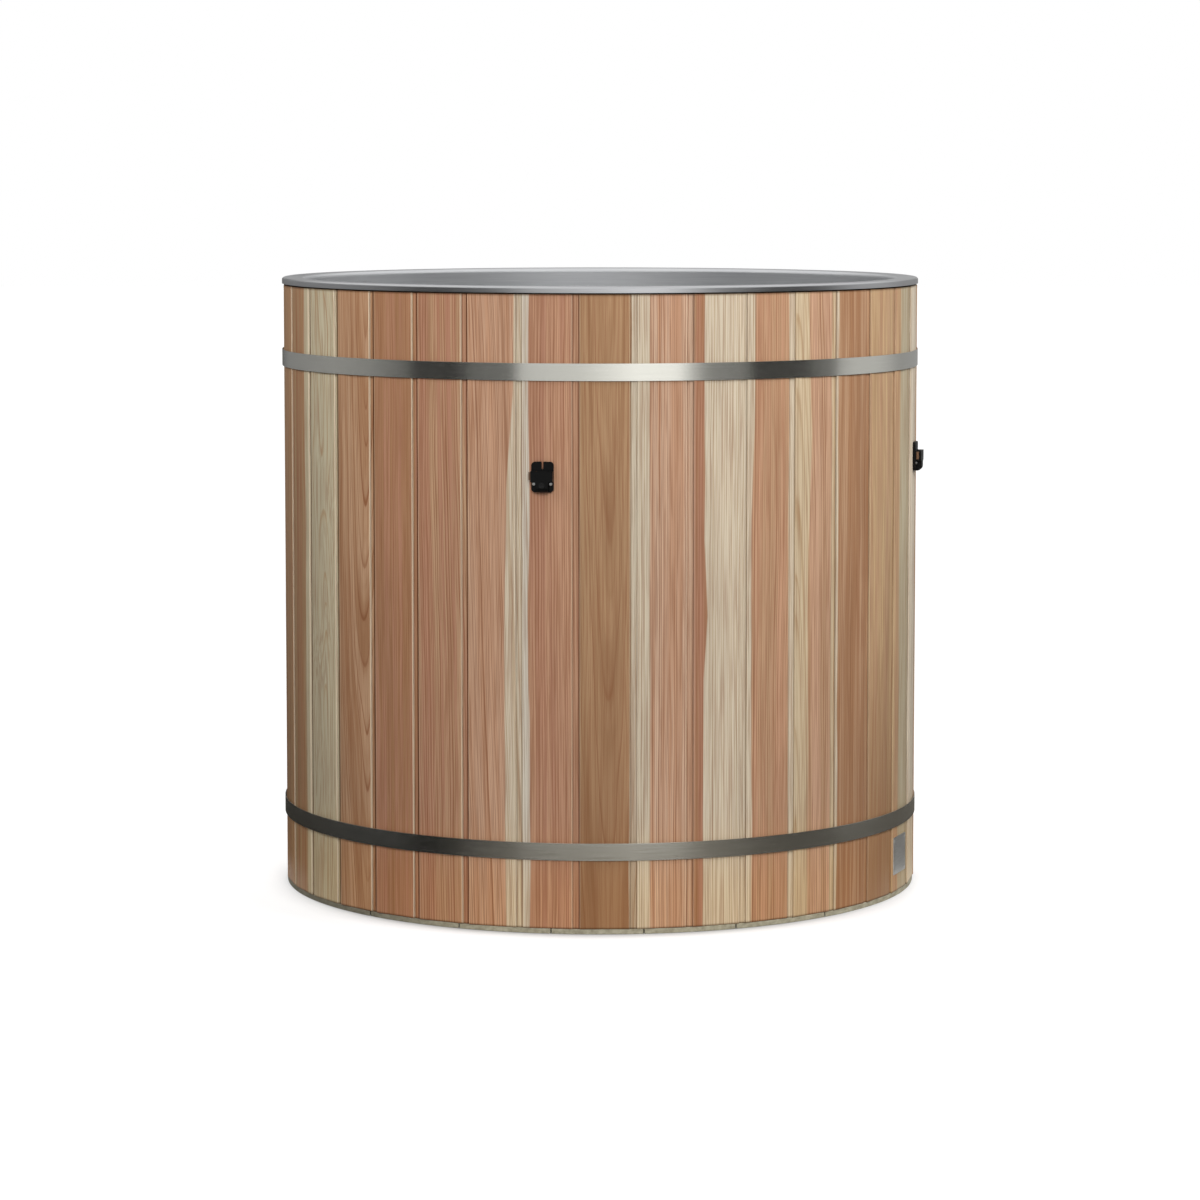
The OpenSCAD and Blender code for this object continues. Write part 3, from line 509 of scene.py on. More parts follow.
# %% The boards of the barrel
FRONT_BOARDS = {
    -8: dict(heart="brown", streak="olive", ring=6, lines=0.4, seam=1.0),
    -7: dict(heart="brown", streak="olive", sap="grey_cream", sap_right=30, lines=0.4, seam=1.0),
    -6: dict(heart="straw", streak="olive", sap="grey_cream", sap_left=95, ring=5, pith=(-8, 14),
             lean=(14, -20), lines=0.7, thin=True, wander=20, seam=1.0),
    -5: dict(heart="brown", streak="tan", ring=4.5, pith=(22, 62), lean=(-4, 50), lines=0.8,
             thin=True, wander=6, seam=1.0),
    -4: dict(heart="rose", streak="brown", ring=3.4, lines=0.45, seam=0.95),
    -3: dict(heart="rose", streak="tan", ring=3.6, pith=(300, 60), lean=(14, 0), lines=0.75,
             seam=0.9),
    -2: dict(heart="salmon", streak="blush", ring=3.8, pith=(-180, 50), lean=(40, 20), lines=0.6,
             sap_right=[(0.0, 27), (0.5, 29), (0.7, 27), (0.85, 15), (1.0, 11)], seam=0.5,
             wander=4),
    -1: dict(heart="rose", streak="salmon", ring=3.4, pith=(-280, 60), sap="ash", sap_left=10,
             lines=0.65, seam=0.6),
    0: dict(heart="bark", streak="hazel", ring=6.5, pith=(4, 52), lean=(6, 24), sap_right=10,
            lines=0.6, thin=True, wander=6, seam=0.0, corner=0.6, foot=0.4),
    1: dict(heart="peach", streak="salmon", ring=3.5, pith=(320, 40), sap_left=20, lines=0.65,
            wander=3, seam=0.2, corner=0.25),
    2: dict(heart="rose", streak="brown", ring=3.8, pith=(-300, 30), lines=0.6, wander=3,
            sap_right=[(0.0, 73), (0.4, 72), (0.5, 66), (0.62, 72), (1.0, 72)], seam=0.0,
            corner=0.1),
    3: dict(heart="salmon", streak="tan", ring=3.7, pith=(340, 20), lines=0.65, wander=4,
            sap_left=[(0.0, 9), (0.6, 8), (1.0, 17)], sap_right=11, seam=0.0, corner=0.5),
    4: dict(heart="blush", streak="tan", ring=5.4, pith=(-44, 2), lean=(0, 44), sap="flax",
            sap_left=[(0.0, 30), (0.6, 29), (0.78, 34), (1.0, 28)], sap_right=9, lines=0.6,
            wander=4, seam=0.6),
    5: dict(heart="tan", streak="brown", ring=3.8, pith=(260, 50), sap_left=4, lines=0.5,
            foot=0.1),
    6: dict(heart="tan", streak="straw", ring=3.8, pith=(-320, 40), lines=0.5, seam=0.8,
            foot=0.6),
    7: dict(heart="straw", streak="tan", sap="grey_cream", sap_right=60, ring=5.5, lines=0.4,
            seam=1.0),
    8: dict(heart="pale", streak="cream", ring=5.5, lines=0.3),
}
BACK_KINDS = [
    dict(heart="salmon", streak="rose", ring=6, pith=(280, 40), lines=0.5),
    dict(heart="brown", streak="tan", ring=8, pith=(10, 34), lean=(10, 50), lines=0.6, wander=8),
    dict(heart="tan", streak="salmon", ring=5.6, pith=(-300, 30), sap_left=24, lines=0.45),
    dict(heart="straw", streak="tan", ring=6.5, pith=(320, 20), lines=0.4),
    dict(heart="rose", streak="brown", ring=5, pith=(-260, 50), lines=0.35),
    dict(heart="salmon", streak="tan", ring=6.5, pith=(300, 40), sap_right=40, lines=0.5,
         wander=8),
    dict(heart="brown", streak="tan", ring=4.8, pith=(240, 30), lines=0.4),
]
BACK_STEP = 3
finishes = []
for k in range(STAVES):
    near = k if k <= STAVES // 2 else k - STAVES
    look = FRONT_BOARDS.get(near) or BACK_KINDS[(k * BACK_STEP) % len(BACK_KINDS)]
    finishes.append(cedar("oiled cedar %02d" % (k + 1), stave_turn(k), seed=k + 1, **look))
print("cedar boards:", len(finishes))

# %% [markdown]
# A stave is a board with a bevelled edge: along its right side the face drops to a sunk strip,
# with a tongue below it that enters the next board's groove. It starts as a box. Two cuts mark the
# strip, which is pushed in, two more mark the tongue and groove, and the back is drawn narrower so
# that the sides point at the barrel's axis.

# %% Shape one stave
TINY = 0.01 * MM
STRIP_W, STRIP_DEPTH, SLOPE_W = 10 * MM, 2.5 * MM, 1.5 * MM
TONGUE_L, TONGUE_TOP, TONGUE_LOW = 6 * MM, 8.3 * MM, 14.2 * MM
TONGUE_TAPER = 0.92
gap_half = SEAM_GAP / 2 / math.cos(HALF)
face_half = FACE_R * math.tan(HALF) - gap_half
back_half = (FACE_R - STAVE_T) * math.tan(HALF) - gap_half
strip_x = face_half - STRIP_W
nothing_selected()
bpy.ops.mesh.primitive_cube_add(
    size=1, location=(0, -FACE_R + STAVE_T / 2, (STAVE_Z0 + STAVE_Z1) / 2),
    scale=(2 * face_half, STAVE_T, STAVE_Z1 - STAVE_Z0))
stave = begin("stave_pattern")
cut((strip_x - SLOPE_W, 0, 0), (1, 0, 0))
cut((strip_x, 0, 0), (1, 0, 0))
pick("faces", lambda c, n: n.y < -0.9 and c.x > strip_x)
bpy.ops.transform.translate(value=(0, STRIP_DEPTH, 0))
pick("verts", lambda c, n: c.y > -FACE_R + STAVE_T - TINY)
bpy.ops.transform.resize(value=(back_half / face_half, 1, 1), center_override=(0, -FACE_R, 0))
cut((0, -FACE_R + TONGUE_TOP, 0), (0, 1, 0))
cut((0, -FACE_R + TONGUE_LOW, 0), (0, 1, 0))


def in_tongue_band(c):
    """Whether a point lies between the tongue's two cuts."""
    return -FACE_R + TONGUE_TOP < c.y < -FACE_R + TONGUE_LOW


pick("faces", lambda c, n: n.x > 0.9 and in_tongue_band(c))
bpy.ops.mesh.extrude_region_move(TRANSFORM_OT_translate={"value": (TONGUE_L, 0, 0)})
bpy.ops.transform.resize(value=(1, TONGUE_TAPER, 1))
pick("faces", lambda c, n: n.x < -0.9 and in_tongue_band(c))
bpy.ops.mesh.extrude_region_move(TRANSFORM_OT_translate={"value": (TONGUE_L, 0, 0)})
print("stave face %.1f mm wide, back %.1f mm" % (2 * face_half / MM, 2 * back_half / MM))


# %% Ease the stave's edges
END_EASE, EDGE_EASE = 1.8 * MM, 0.8 * MM


def on_face(c):
    """Whether a point lies on the stave's face or in its sunk strip."""
    return c.y < -FACE_R + STRIP_DEPTH + TINY


pick("edges", lambda c, d: abs(d.z) < 0.1 and abs(d.x) > 0.9 and on_face(c))
bpy.ops.mesh.bevel(offset=END_EASE, segments=3, profile=0.6)
long_edges = pick("edges", lambda c, d: abs(d.z) > 0.99 and on_face(c))
bpy.ops.mesh.bevel(offset=EDGE_EASE, segments=2)
close(stave, 35)
print("long edges eased:", long_edges, "faces:", len(stave.data.polygons))

# %% The drain's hole
DRAIN_STAVE, DRAIN_Z = 18, 80.6 * MM
STAVE_HOLE, TUB_HOLE = 31.2 * MM, 27 * MM
DRILL_L, DRILL_IN = 60 * MM, 25 * MM


def drill(piece, width):
    """Cuts the drain's round hole through one piece, straight out from the barrel's axis."""
    nothing_selected()
    bpy.ops.mesh.primitive_cylinder_add(
        vertices=64, radius=width / 2, depth=DRILL_L, rotation=(math.pi / 2, 0, 0),
        location=(0, -FACE_R + DRILL_IN, DRAIN_Z))
    cutter = close(begin("drill"))
    cutter.data.transform(Matrix.Rotation(stave_turn(DRAIN_STAVE), 4, "Z"))
    modify(piece, "BOOLEAN", object=cutter, operation="DIFFERENCE", solver="EXACT")
    bpy.data.objects.remove(cutter)


# %% Set the staves round the barrel
for k in range(STAVES):
    name = "stave_%02d" % (k + 1)
    board = turned_copy(stave, name + "_board", stave_turn(k))
    if k == DRAIN_STAVE:
        drill(board, STAVE_HOLE)
    dress(board, "barrel", finishes[k], [name])
bpy.data.objects.remove(stave)
print("staves set:", STAVES)

# %% [markdown]
# Stainless sheet with a brushed finish: fine scratches all run one way, so it is glossy along them
# and dull across them. On the hoops and the tub the scratches run round the axis. The pattern is
# stretched noise in round coordinates; real scratches are about 0.1 mm apart, and here they are
# drawn near 1 mm so that they show.

# %% Steel finishes
MOUTH_FROM, MOUTH_TO = TUB_R + 1.5 * MM, TUB_R + 5 * MM


def round_place(tree, along, up):
    """Coordinates that follow the barrel: turn round it, height and radius, each with a scale."""
    place = node(tree, "TexCoord", {})["Object"]
    parts = node(tree, "SeparateXYZ", {0: place})
    turn = node(tree, "Math", {0: parts["Y"], 1: parts["X"]}, operation="ARCTAN2")[0]
    scaled = [node(tree, "Math", {0: source, 1: scale}, operation="MULTIPLY")[0]
              for source, scale in ((turn, along), (parts["Z"], up), (from_axis(tree, place), up))]
    return node(tree, "CombineXYZ", dict(enumerate(scaled)))[0]


def brushed_round(name, low, high, roughness, streaks, smears, bump, anisotropy, inside=None):
    """Sheet brushed round the axis, between two tones. streaks and smears are how many scratches
    and how many broad smears there are to a metre, and inside is how much lighter, as painted
    light, and how much rougher the tub's wall is than its rim."""
    made, tree, shader = material(name)
    scratch = node(tree, "TexNoise", {"Vector": round_place(tree, 6, streaks), "Scale": 1.0,
                                      "Detail": 4.0, "Roughness": 0.6})["Fac"]
    smear = node(tree, "TexNoise", {"Vector": round_place(tree, 2.5, smears), "Scale": 1.0,
                                    "Detail": 3.0})["Fac"]
    fine = node(tree, "Math", {0: scratch, 1: 0.6}, operation="MULTIPLY")[0]
    broad = node(tree, "Math", {0: smear, 1: 0.4}, operation="MULTIPLY")[0]
    both = node(tree, "Math", {0: fine, 1: broad}, operation="ADD")[0]
    colour = node(tree, "ValToRGB", {"Fac": both}, [(0.35, low), (0.65, high)])["Color"]
    rough = node(tree, "MapRange", {"Value": both, "From Min": 0.35, "From Max": 0.65,
                                    "To Min": roughness - 0.03, "To Max": roughness + 0.03})[0]
    if inside:
        lighter, rougher = inside
        wall = node(tree, "MapRange", {
            "Value": from_axis(tree, node(tree, "TexCoord", {})["Object"]),
            "From Min": MOUTH_FROM, "From Max": MOUTH_TO, "To Min": 1.0, "To Max": 0.0})[0]
        # Painted light: the tub's wall is made lighter than the rim of the same sheet.
        lit = node(tree, "Mix", {0: 1.0, 6: colour, 7: (lighter, lighter, lighter, 1)},
                   blend_type="MULTIPLY")[2]
        colour = node(tree, "Mix", {0: wall, 6: colour, 7: lit})[2]
        added = node(tree, "Math", {0: wall, 1: rougher}, operation="MULTIPLY")[0]
        rough = node(tree, "Math", {0: rough, 1: added}, operation="ADD")[0]
    way = node(tree, "Tangent", {}, direction_type="RADIAL", axis="Z")[0]
    relief = node(tree, "Bump", {"Height": scratch, "Strength": bump, "Distance": 0.02 * MM})[0]
    wire(tree, shader, {"Base Color": colour, "Metallic": 1.0, "Roughness": rough,
                        "Anisotropic": anisotropy, "Anisotropic Rotation": 0.25, "Tangent": way,
                        "Normal": relief})
    return made


hoop_steel = brushed_round("brushed stainless band", "#D6D5CC", "#E2E1D9", 0.2, streaks=900,
                           smears=3, bump=0.02, anisotropy=0.85)
tub_steel = brushed_round("satin stainless sheet", "#BCBDBF", "#C8C9CA", 0.34, streaks=500,
                          smears=12, bump=0.03, anisotropy=0.0, inside=(1.32, 0.16))
print("steel finishes:", hoop_steel.name, "and", tub_steel.name)

# %% [markdown]
# The tub is spun and pressed from one sheet: a flat floor, a straight wall, a rolled mouth, a flat
# rim and a short lip turned down over the staves. It starts as an open cylinder of the inside
# size. The top edge is drawn outwards and then down, the bends are bevelled round, and Solidify
# gives the sheet its thickness on the hidden side.

# %% Shape the tub
ROUND_STEPS = 240
LIP_H = 10 * MM
MOUTH_BEND, LIP_BEND, FLOOR_BEND = 7.5 * MM, 4 * MM, 3 * MM
NEAR = 0.4 * MM
nothing_selected()
bpy.ops.mesh.primitive_cylinder_add(
    vertices=ROUND_STEPS, radius=TUB_R, depth=TUB_TOP_Z - TUB_FLOOR_Z,
    location=(0, 0, (TUB_TOP_Z + TUB_FLOOR_Z) / 2))
tub = begin("steel_tub")
pick("faces", lambda c, n: n.z > 0.9)
bpy.ops.mesh.delete(type="FACE")
pick("faces", lambda c, n: n.z < -0.9)
bpy.ops.mesh.inset(thickness=0.12)
bpy.ops.mesh.inset(thickness=0.2)
pick("edges", lambda c, d: c.z > TUB_TOP_Z - TINY)
bpy.ops.mesh.extrude_edges_move()
bpy.ops.transform.resize(value=(RIM_R / TUB_R, RIM_R / TUB_R, 1), center_override=(0, 0, TUB_TOP_Z))
bpy.ops.mesh.extrude_edges_move(TRANSFORM_OT_translate={"value": (0, 0, -LIP_H)})
for radius, height, bend, steps in ((TUB_R, TUB_TOP_Z, MOUTH_BEND, 6),
                                    (RIM_R, TUB_TOP_Z, LIP_BEND, 5),
                                    (TUB_R, TUB_FLOOR_Z, FLOOR_BEND, 4)):
    pick("edges", lambda c, d: abs(c.xy.length - radius) < NEAR and abs(c.z - height) < TINY
         and abs(d.z) < 0.1)
    bpy.ops.mesh.bevel(offset=bend, segments=steps)

# %% Give the tub its sheet
bpy.ops.mesh.select_all(action="SELECT")
bpy.ops.mesh.normals_make_consistent(inside=False)
mesh = bmesh.from_edit_mesh(tub.data)
floor_face = min(mesh.faces, key=lambda f: f.calc_center_median().z)
if floor_face.normal.z < 0:
    bpy.ops.mesh.flip_normals()
bpy.ops.object.mode_set(mode="OBJECT")
modify(tub, "SOLIDIFY", thickness=SHEET_T, offset=-1)
drill(tub, TUB_HOLE)
smooth(tub, 50, level_faces=True)
dress(tub, "barrel", tub_steel, ["liner"])
print("tub faces:", len(tub.data.polygons),
      "lowest z %.4f" % min(v.co.z for v in tub.data.vertices))

# %% [markdown]
# A hoop is a flat steel band drawn tight round the staves, with a lug at each end and a bolt
# through both. The band starts as an open cylinder with enough sides to look round, the joint is
# opened by deleting a few faces, and Solidify and a small bevel turn it into strip. The lugs are
# short plates set on its ends.

# %% Shape the hoops
HOOP_W, HOOP_T, HOOP_R = 27.5 * MM, 1.4 * MM, 532.1 * MM
HOOP_STEPS = 288
HOOP_JOINT = math.radians(205)
HOOP_EASE = 0.4 * MM
UPPER_Z, LOWER_Z = 869.5 * MM, 117 * MM
LUG_GAP, LUG_T, LUG_OUT, LUG_CORNER = 24 * MM, 3 * MM, 27 * MM, 6 * MM


def hoop(name, z, cad_node):
    """One hoop whose lower edge is at height z."""
    nothing_selected()
    bpy.ops.mesh.primitive_cylinder_add(
        vertices=HOOP_STEPS, radius=HOOP_R + HOOP_T, depth=HOOP_W, end_fill_type="NOTHING",
        location=(0, 0, z + HOOP_W / 2))
    band = begin(name)
    pick("faces", lambda c, n: c.y < 0 and abs(c.x) < LUG_GAP / 2)
    bpy.ops.mesh.delete(type="FACE")
    bpy.ops.object.mode_set(mode="OBJECT")
    modify(band, "SOLIDIFY", thickness=HOOP_T, offset=-1)
    ease(band, HOOP_EASE)
    parts = [band]
    for side in (-1, 1):
        nothing_selected()
        bpy.ops.mesh.primitive_cube_add(
            size=1, scale=(LUG_T, LUG_OUT, HOOP_W),
            location=(side * (LUG_GAP + LUG_T) / 2, -HOOP_R - LUG_OUT / 2, z + HOOP_W / 2))
        lug = begin(name + "_lug")
        pick("edges", lambda c, d: abs(d.x) > 0.9 and c.y < -HOOP_R - LUG_OUT / 2)
        bpy.ops.mesh.bevel(offset=LUG_CORNER, segments=4)
        close(lug)
        ease(lug, HOOP_EASE)
        parts.append(lug)
    band = join(parts)
    band.data.transform(Matrix.Rotation(HOOP_JOINT, 4, "Z"))
    smooth(band, 30, level_faces=True)
    dress(band, "barrel", hoop_steel, [cad_node])
    print(name, "faces:", len(band.data.polygons))


hoop("upper_band", UPPER_Z, "upper_hoop")
hoop("lower_band", LOWER_Z, "lower_hoop")

# %% [markdown]
# The base is a disc of softwood boards under the staves, greyed by weather, with battens across
# them. Weathered wood has open grain and grey blotches, and its left end is darkened with painted
# shade. The grain runs along the boards, about 8 mm from streak to streak.

# %% Base wood finish
GRAIN_RATE = (120, 6, 160)
BLOTCH_RATE = 9.0
LEFT_SHADE_X, UNSHADED_X = -0.42, -0.16


def weathered(name):
    """Greyed softwood boards that run front to back."""
    made, tree, shader = material(name)
    place = node(tree, "TexCoord", {})["Object"]
    long_way = node(tree, "Mapping", {"Vector": place, "Scale": GRAIN_RATE})[0]
    grain = node(tree, "TexNoise", {"Vector": long_way, "Scale": 1.0, "Detail": 4.0})["Fac"]
    blotch = node(tree, "TexNoise", {"Vector": place, "Scale": BLOTCH_RATE, "Detail": 3.0})["Fac"]
    colour = node(tree, "ValToRGB", {"Fac": grain},
                  [(0.3, "#928B76"), (0.55, "#AFA891"), (0.75, "#C2BCA6")])["Color"]
    greyed = node(tree, "MapRange", {"Value": blotch, "From Min": 0.35, "From Max": 0.7,
                                     "To Min": 0.0, "To Max": 0.35})[0]
    colour = node(tree, "Mix", {0: greyed, 6: colour, 7: linear("#8F8A74")})[2]
    # Painted shade: towards its left end the base darkens to 0.45 of its tone.
    painted_left_shade = node(tree, "MapRange", {
        "Value": node(tree, "SeparateXYZ", {0: place})["X"], "From Min": LEFT_SHADE_X,
        "From Max": UNSHADED_X, "To Min": 0.45, "To Max": 1.0}, interpolation_type="SMOOTHSTEP")[0]
    colour = node(tree, "Mix", {0: 1.0, 6: colour, 7: painted_left_shade}, blend_type="MULTIPLY")[2]
    relief = node(tree, "Bump", {"Height": grain, "Strength": 0.3, "Distance": 0.3 * MM})[0]
    wire(tree, shader, {"Base Color": colour, "Roughness": 0.8, "Normal": relief})
    return made


base_wood = weathered("weathered softwood")
print("base finish:", base_wood.name)

# %% [markdown]
# One helper slices a board or a batten out of a round slab with two cuts, closes it and eases its
# edges. Each board is two slices, because the disc is wider where the staves stand on it.

# %% Shape the base
BASE_LIP_H, BOARD_Z0, BOARD_T = 8 * MM, 1 * MM, 22 * MM
BOARD_W, BOARD_GAP, BOARD_SHIFT = 146 * MM, 1.5 * MM, -4 * MM
BOARD_R = FACE_R - STAVE_T - 0.3 * MM
BATTEN_T, BATTEN_W, BATTEN_PITCH = 12 * MM, 60 * MM, 220 * MM
BATTEN_Z = BOARD_T + 0.1 * MM
BATTEN_R = TUB_R + SHEET_T - 0.3 * MM
BOARDS = range(-3, 4)
BATTENS = (-1.5, -0.5, 0.5, 1.5)
BEYOND = 1  # outside the disc, so that there is no cut


def slice_of_disc(radius, z0, z1, axis, low, high, width):
    """A slice of a round slab between two places along axis, with its edges eased by width."""
    nothing_selected()
    bpy.ops.mesh.primitive_cylinder_add(vertices=ROUND_STEPS, radius=radius, depth=z1 - z0,
                                        location=(0, 0, (z0 + z1) / 2))
    part = begin("base")
    if low > -radius:
        cut(axis * low, axis, clear_inner=True, use_fill=True)
    if high < radius:
        cut(axis * high, axis, clear_outer=True, use_fill=True)
    close(part)
    ease(part, width)
    return part


parts = []
across, along = Vector((1, 0, 0)), Vector((0, 1, 0))
for i in BOARDS:
    low = BOARD_SHIFT + (i - 0.5) * BOARD_W + BOARD_GAP / 2 if i > BOARDS[0] else -BEYOND
    high = BOARD_SHIFT + (i + 0.5) * BOARD_W - BOARD_GAP / 2 if i < BOARDS[-1] else BEYOND
    parts.append(slice_of_disc(FACE_R, 0, BASE_LIP_H, across, low, high, 0.8 * MM))
    parts.append(slice_of_disc(BOARD_R, BOARD_Z0, BOARD_T, across, low, high, 0.5 * MM))
for row in BATTENS:
    low = row * BATTEN_PITCH - BATTEN_W / 2
    parts.append(slice_of_disc(BATTEN_R, BATTEN_Z, BATTEN_Z + BATTEN_T, along, low,
                               low + BATTEN_W, 1 * MM))
base = join(parts)
base.name = base.data.name = "base_planks"
print("base faces:", len(base.data.polygons))

# %% [markdown]
# The screws under the base sit in counterbores. They are cut with one Boolean modifier, from
# plain cylinders at every place where a board crosses a batten.

# %% Cut the screw pockets
POCKET_R, POCKET_L = 3.4 * MM, 6.4 * MM
SCREWS_R = TUB_R + SHEET_T - 11.2 * MM
pockets = []
for row in BATTENS:
    for i in BOARDS:
        x, y = BOARD_SHIFT + i * BOARD_W, row * BATTEN_PITCH
        if math.hypot(x, y) < SCREWS_R:
            nothing_selected()
            bpy.ops.mesh.primitive_cylinder_add(vertices=24, radius=POCKET_R, depth=POCKET_L,
                                                location=(x, y, 0))
            pockets.append(bpy.context.object)
cutter = join(pockets)
modify(base, "BOOLEAN", object=cutter, operation="DIFFERENCE", solver="EXACT")
bpy.data.objects.remove(cutter)
smooth(base, 30)
dress(base, "barrel", base_wood, ["base_boards"])
print("screw pockets:", len(pockets))

# %% [markdown]
# Small fittings: latches, plate, drain and screws. Their frame pieces already have the right
# shape, but moulded and turned parts never have knife edges. A copy of each is welded, eased with
# a fine bevel and smoothed, so that its edges catch the light.

# %% Eased copies of the fittings
def eased_copy(cad_node, name, width, body, finish, slot, segments=2):
    """A finished copy of a frame piece, with its edges eased by width."""
    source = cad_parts[cad_node]
    copy = source.copy()
    copy.data = source.data.copy()
    for key in list(copy.keys()):
        del copy[key]
    copy.parent = None
    copy.name = copy.data.name = name
    bpy.context.collection.objects.link(copy)
    only(copy)
    bpy.ops.object.mode_set(mode="EDIT")
    bpy.ops.mesh.select_all(action="SELECT")
    bpy.ops.mesh.remove_doubles(threshold=0.001 * MM)
    bpy.ops.mesh.dissolve_limited(angle_limit=math.radians(1))
    bpy.ops.object.mode_set(mode="OBJECT")
    ease(copy, width, segments, 35)
    smooth(copy, 30, level_faces=True)
    dress(copy, body, finish, [cad_node])


# %% [markdown]
# Finishes of the fittings: black nylon with a fine spark-eroded grain for the latches, a moulded
# tab coloured brown as a painted reflection of the wood beside it, dark turned metal for the
# locks, brushed sheet for the plate, brass for the drain and a blue vinyl sleeve on its lever.

# %% Fitting finishes
MOTTLE_RATE = 60.0


def speckled(name, low, high, grain_mm, roughness, metallic=0.0, gloss=0.5, bump=0.15,
             depth_mm=0.05):
    """An even finish between two tones with a fine grain of a given size."""
    made, tree, shader = material(name)
    place = node(tree, "TexCoord", {})["Object"]
    grain = node(tree, "TexNoise", {"Vector": place, "Scale": 1 / (grain_mm * MM),
                                    "Detail": 3.0})["Fac"]
    mottle = node(tree, "TexNoise", {"Vector": place, "Scale": MOTTLE_RATE, "Detail": 3.0})["Fac"]
    fine = node(tree, "Math", {0: grain, 1: 0.5}, operation="MULTIPLY")[0]
    broad = node(tree, "Math", {0: mottle, 1: 0.5}, operation="MULTIPLY")[0]
    both = node(tree, "Math", {0: fine, 1: broad}, operation="ADD")[0]
    colour = node(tree, "ValToRGB", {"Fac": both}, [(0.35, low), (0.65, high)])["Color"]
    rough = node(tree, "MapRange", {"Value": both, "From Min": 0.35, "From Max": 0.65,
                                    "To Min": roughness - 0.07, "To Max": roughness + 0.07})[0]
    relief = node(tree, "Bump", {"Height": grain, "Strength": bump, "Distance": depth_mm * MM})[0]
    wire(tree, shader, {"Base Color": colour, "Metallic": metallic, "Roughness": rough,
                        "Specular IOR Level": gloss, "Normal": relief})
    return made


def brushed_flat(name, low, high, roughness, rate):
    """Sheet brushed straight; rate is in scratches per metre along each axis."""
    made, tree, shader = material(name)
    place = node(tree, "TexCoord", {})["Object"]
    lined = node(tree, "Mapping", {"Vector": place, "Scale": rate})[0]
    scratch = node(tree, "TexNoise", {"Vector": lined, "Scale": 1.0, "Detail": 4.0})["Fac"]
    colour = node(tree, "ValToRGB", {"Fac": scratch}, [(0.3, low), (0.7, high)])["Color"]
    rough = node(tree, "MapRange", {"Value": scratch, "From Min": 0.3, "From Max": 0.7,
                                    "To Min": roughness - 0.08, "To Max": roughness + 0.08})[0]
    relief = node(tree, "Bump", {"Height": scratch, "Strength": 0.1, "Distance": 0.05 * MM})[0]
    wire(tree, shader, {"Base Color": colour, "Metallic": 1.0, "Roughness": rough,
                        "Normal": relief})
    return made


black_nylon = speckled("black moulded nylon", "#070707", "#0E0E0E", 0.5, 0.38, gloss=0.15)
# The tab's brown is a painted reflection of the wood beside it.
tab_nylon_with_painted_reflection = speckled("moulded nylon with painted wood reflection", "#584030", "#70533B", 0.5, 0.45)
lock_metal = speckled("dark turned lock metal", "#2A2A2A", "#3C3C3C", 0.4, 0.35, metallic=1.0)
screw_steel = speckled("bright stainless screws", "#A8A8A6", "#C4C4C2", 0.4, 0.3, metallic=1.0)
plate_steel = brushed_flat("brushed plate steel", "#CFCFCC", "#E2E2E0", 0.5, (40, 40, 900))
drain_brass = speckled("cast and turned brass", "#A8843F", "#C7A45C", 1.2, 0.36, metallic=1.0)
ball_chrome = speckled("polished ball", "#C2C2C2", "#D2D2D2", 2.0, 0.12, metallic=1.0, bump=0.02)
lever_blue = speckled("zinc lever in a blue vinyl sleeve", "#234E7A", "#2F6194", 0.6, 0.45)
foam_cream = speckled("closed cell foam", "#D9D3BC", "#EEE9D6", 1.5, 0.9, bump=0.5, depth_mm=0.4)
print("fitting finishes:", ", ".join(made.name for made in (
    black_nylon, tab_nylon_with_painted_reflection, lock_metal, screw_steel, plate_steel, drain_brass, ball_chrome,
    lever_blue, foam_cream)))

# %% Place the fittings
# Frame piece, name, width of its eased edges in mm, body, finish, slot and steps of the bevel.
FITTINGS = []
for i in range(1, 5):
    latch = "latch_%d_" % i
    FITTINGS += [
        (latch + "housing", latch + "case", 0.6, "barrel", black_nylon, "latch_black", 3),
        (latch + "tab", latch + "button", 0.4, "tab_%d" % i, tab_nylon_with_painted_reflection, "latch_brown"),
        (latch + "lock", latch + "barrel", 0.2, "lock_%d" % i, lock_metal, "lock_steel"),
    ]
FITTINGS += [
    ("plain_plate", "plate_and_nails", 0.25, "barrel", plate_steel, "plate_steel"),
    ("fasteners", "screws_and_bolts", 0.2, "barrel", screw_steel, "screw_steel"),
    ("drain_fitting", "drain_flange", 0.5, "barrel", drain_brass, "drain_brass"),
    ("valve_body", "valve_case", 0.6, "barrel", drain_brass, "drain_brass"),
    ("valve_ball", "valve_sphere", 0.3, "drain_handle", ball_chrome, "ball_chrome"),
    ("valve_lever", "valve_handle", 0.6, "drain_handle", lever_blue, "lever_steel"),
]
for cad_node, name, ease_mm, *rest in FITTINGS:
    eased_copy(cad_node, name, ease_mm * MM, *rest)
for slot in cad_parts["foam_jacket"].material_slots:
    slot.material = foam_cream
print("fittings placed:", len(FITTINGS))

# %% [markdown]
# The stage is a pale floor and a white surround. The floor's own glow makes up for the light that
# it lacks further out, and fades at the barrel's foot, where it paints a soft shadow over the real
# one, reaching further in front than at the sides. Two soft lamps hang high at the sides, so the
# barrel's flanks get darker towards the floor, a broad one in front keeps its middle even, and one
# behind lights its back.

# %% Floor and surround
AMBIENT = 0.15
# Each glow is given as (share of the way between its two distances, strength).
# The glow's dip near the foot paints the barrel's soft shadow on the floor.
PAINTED_SHADOW_R, PAINTED_SHADOW_SHIFT = (0.49, 0.69), 0.035
GLOW_WITH_PAINTED_SHADOW = [(0.0, 0.03), (0.04, 0.06), (0.16, 0.42), (0.24, 0.54), (0.34, 0.6), (1.0, 0.66)]
FAR_R = (0.7, 5.2)
FAR_GLOW = [(0.0, 0.0), (0.16, 0.02), (0.33, 0.06), (0.58, 0.16), (1.0, 0.28)]
UNDER_R = (FACE_R - 22 * MM, FACE_R + 4 * MM)
nothing_selected()
bpy.ops.mesh.primitive_plane_add(size=60, location=(0, 0, -0.2 * MM))
floor = bpy.context.object
floor.name = "floor"


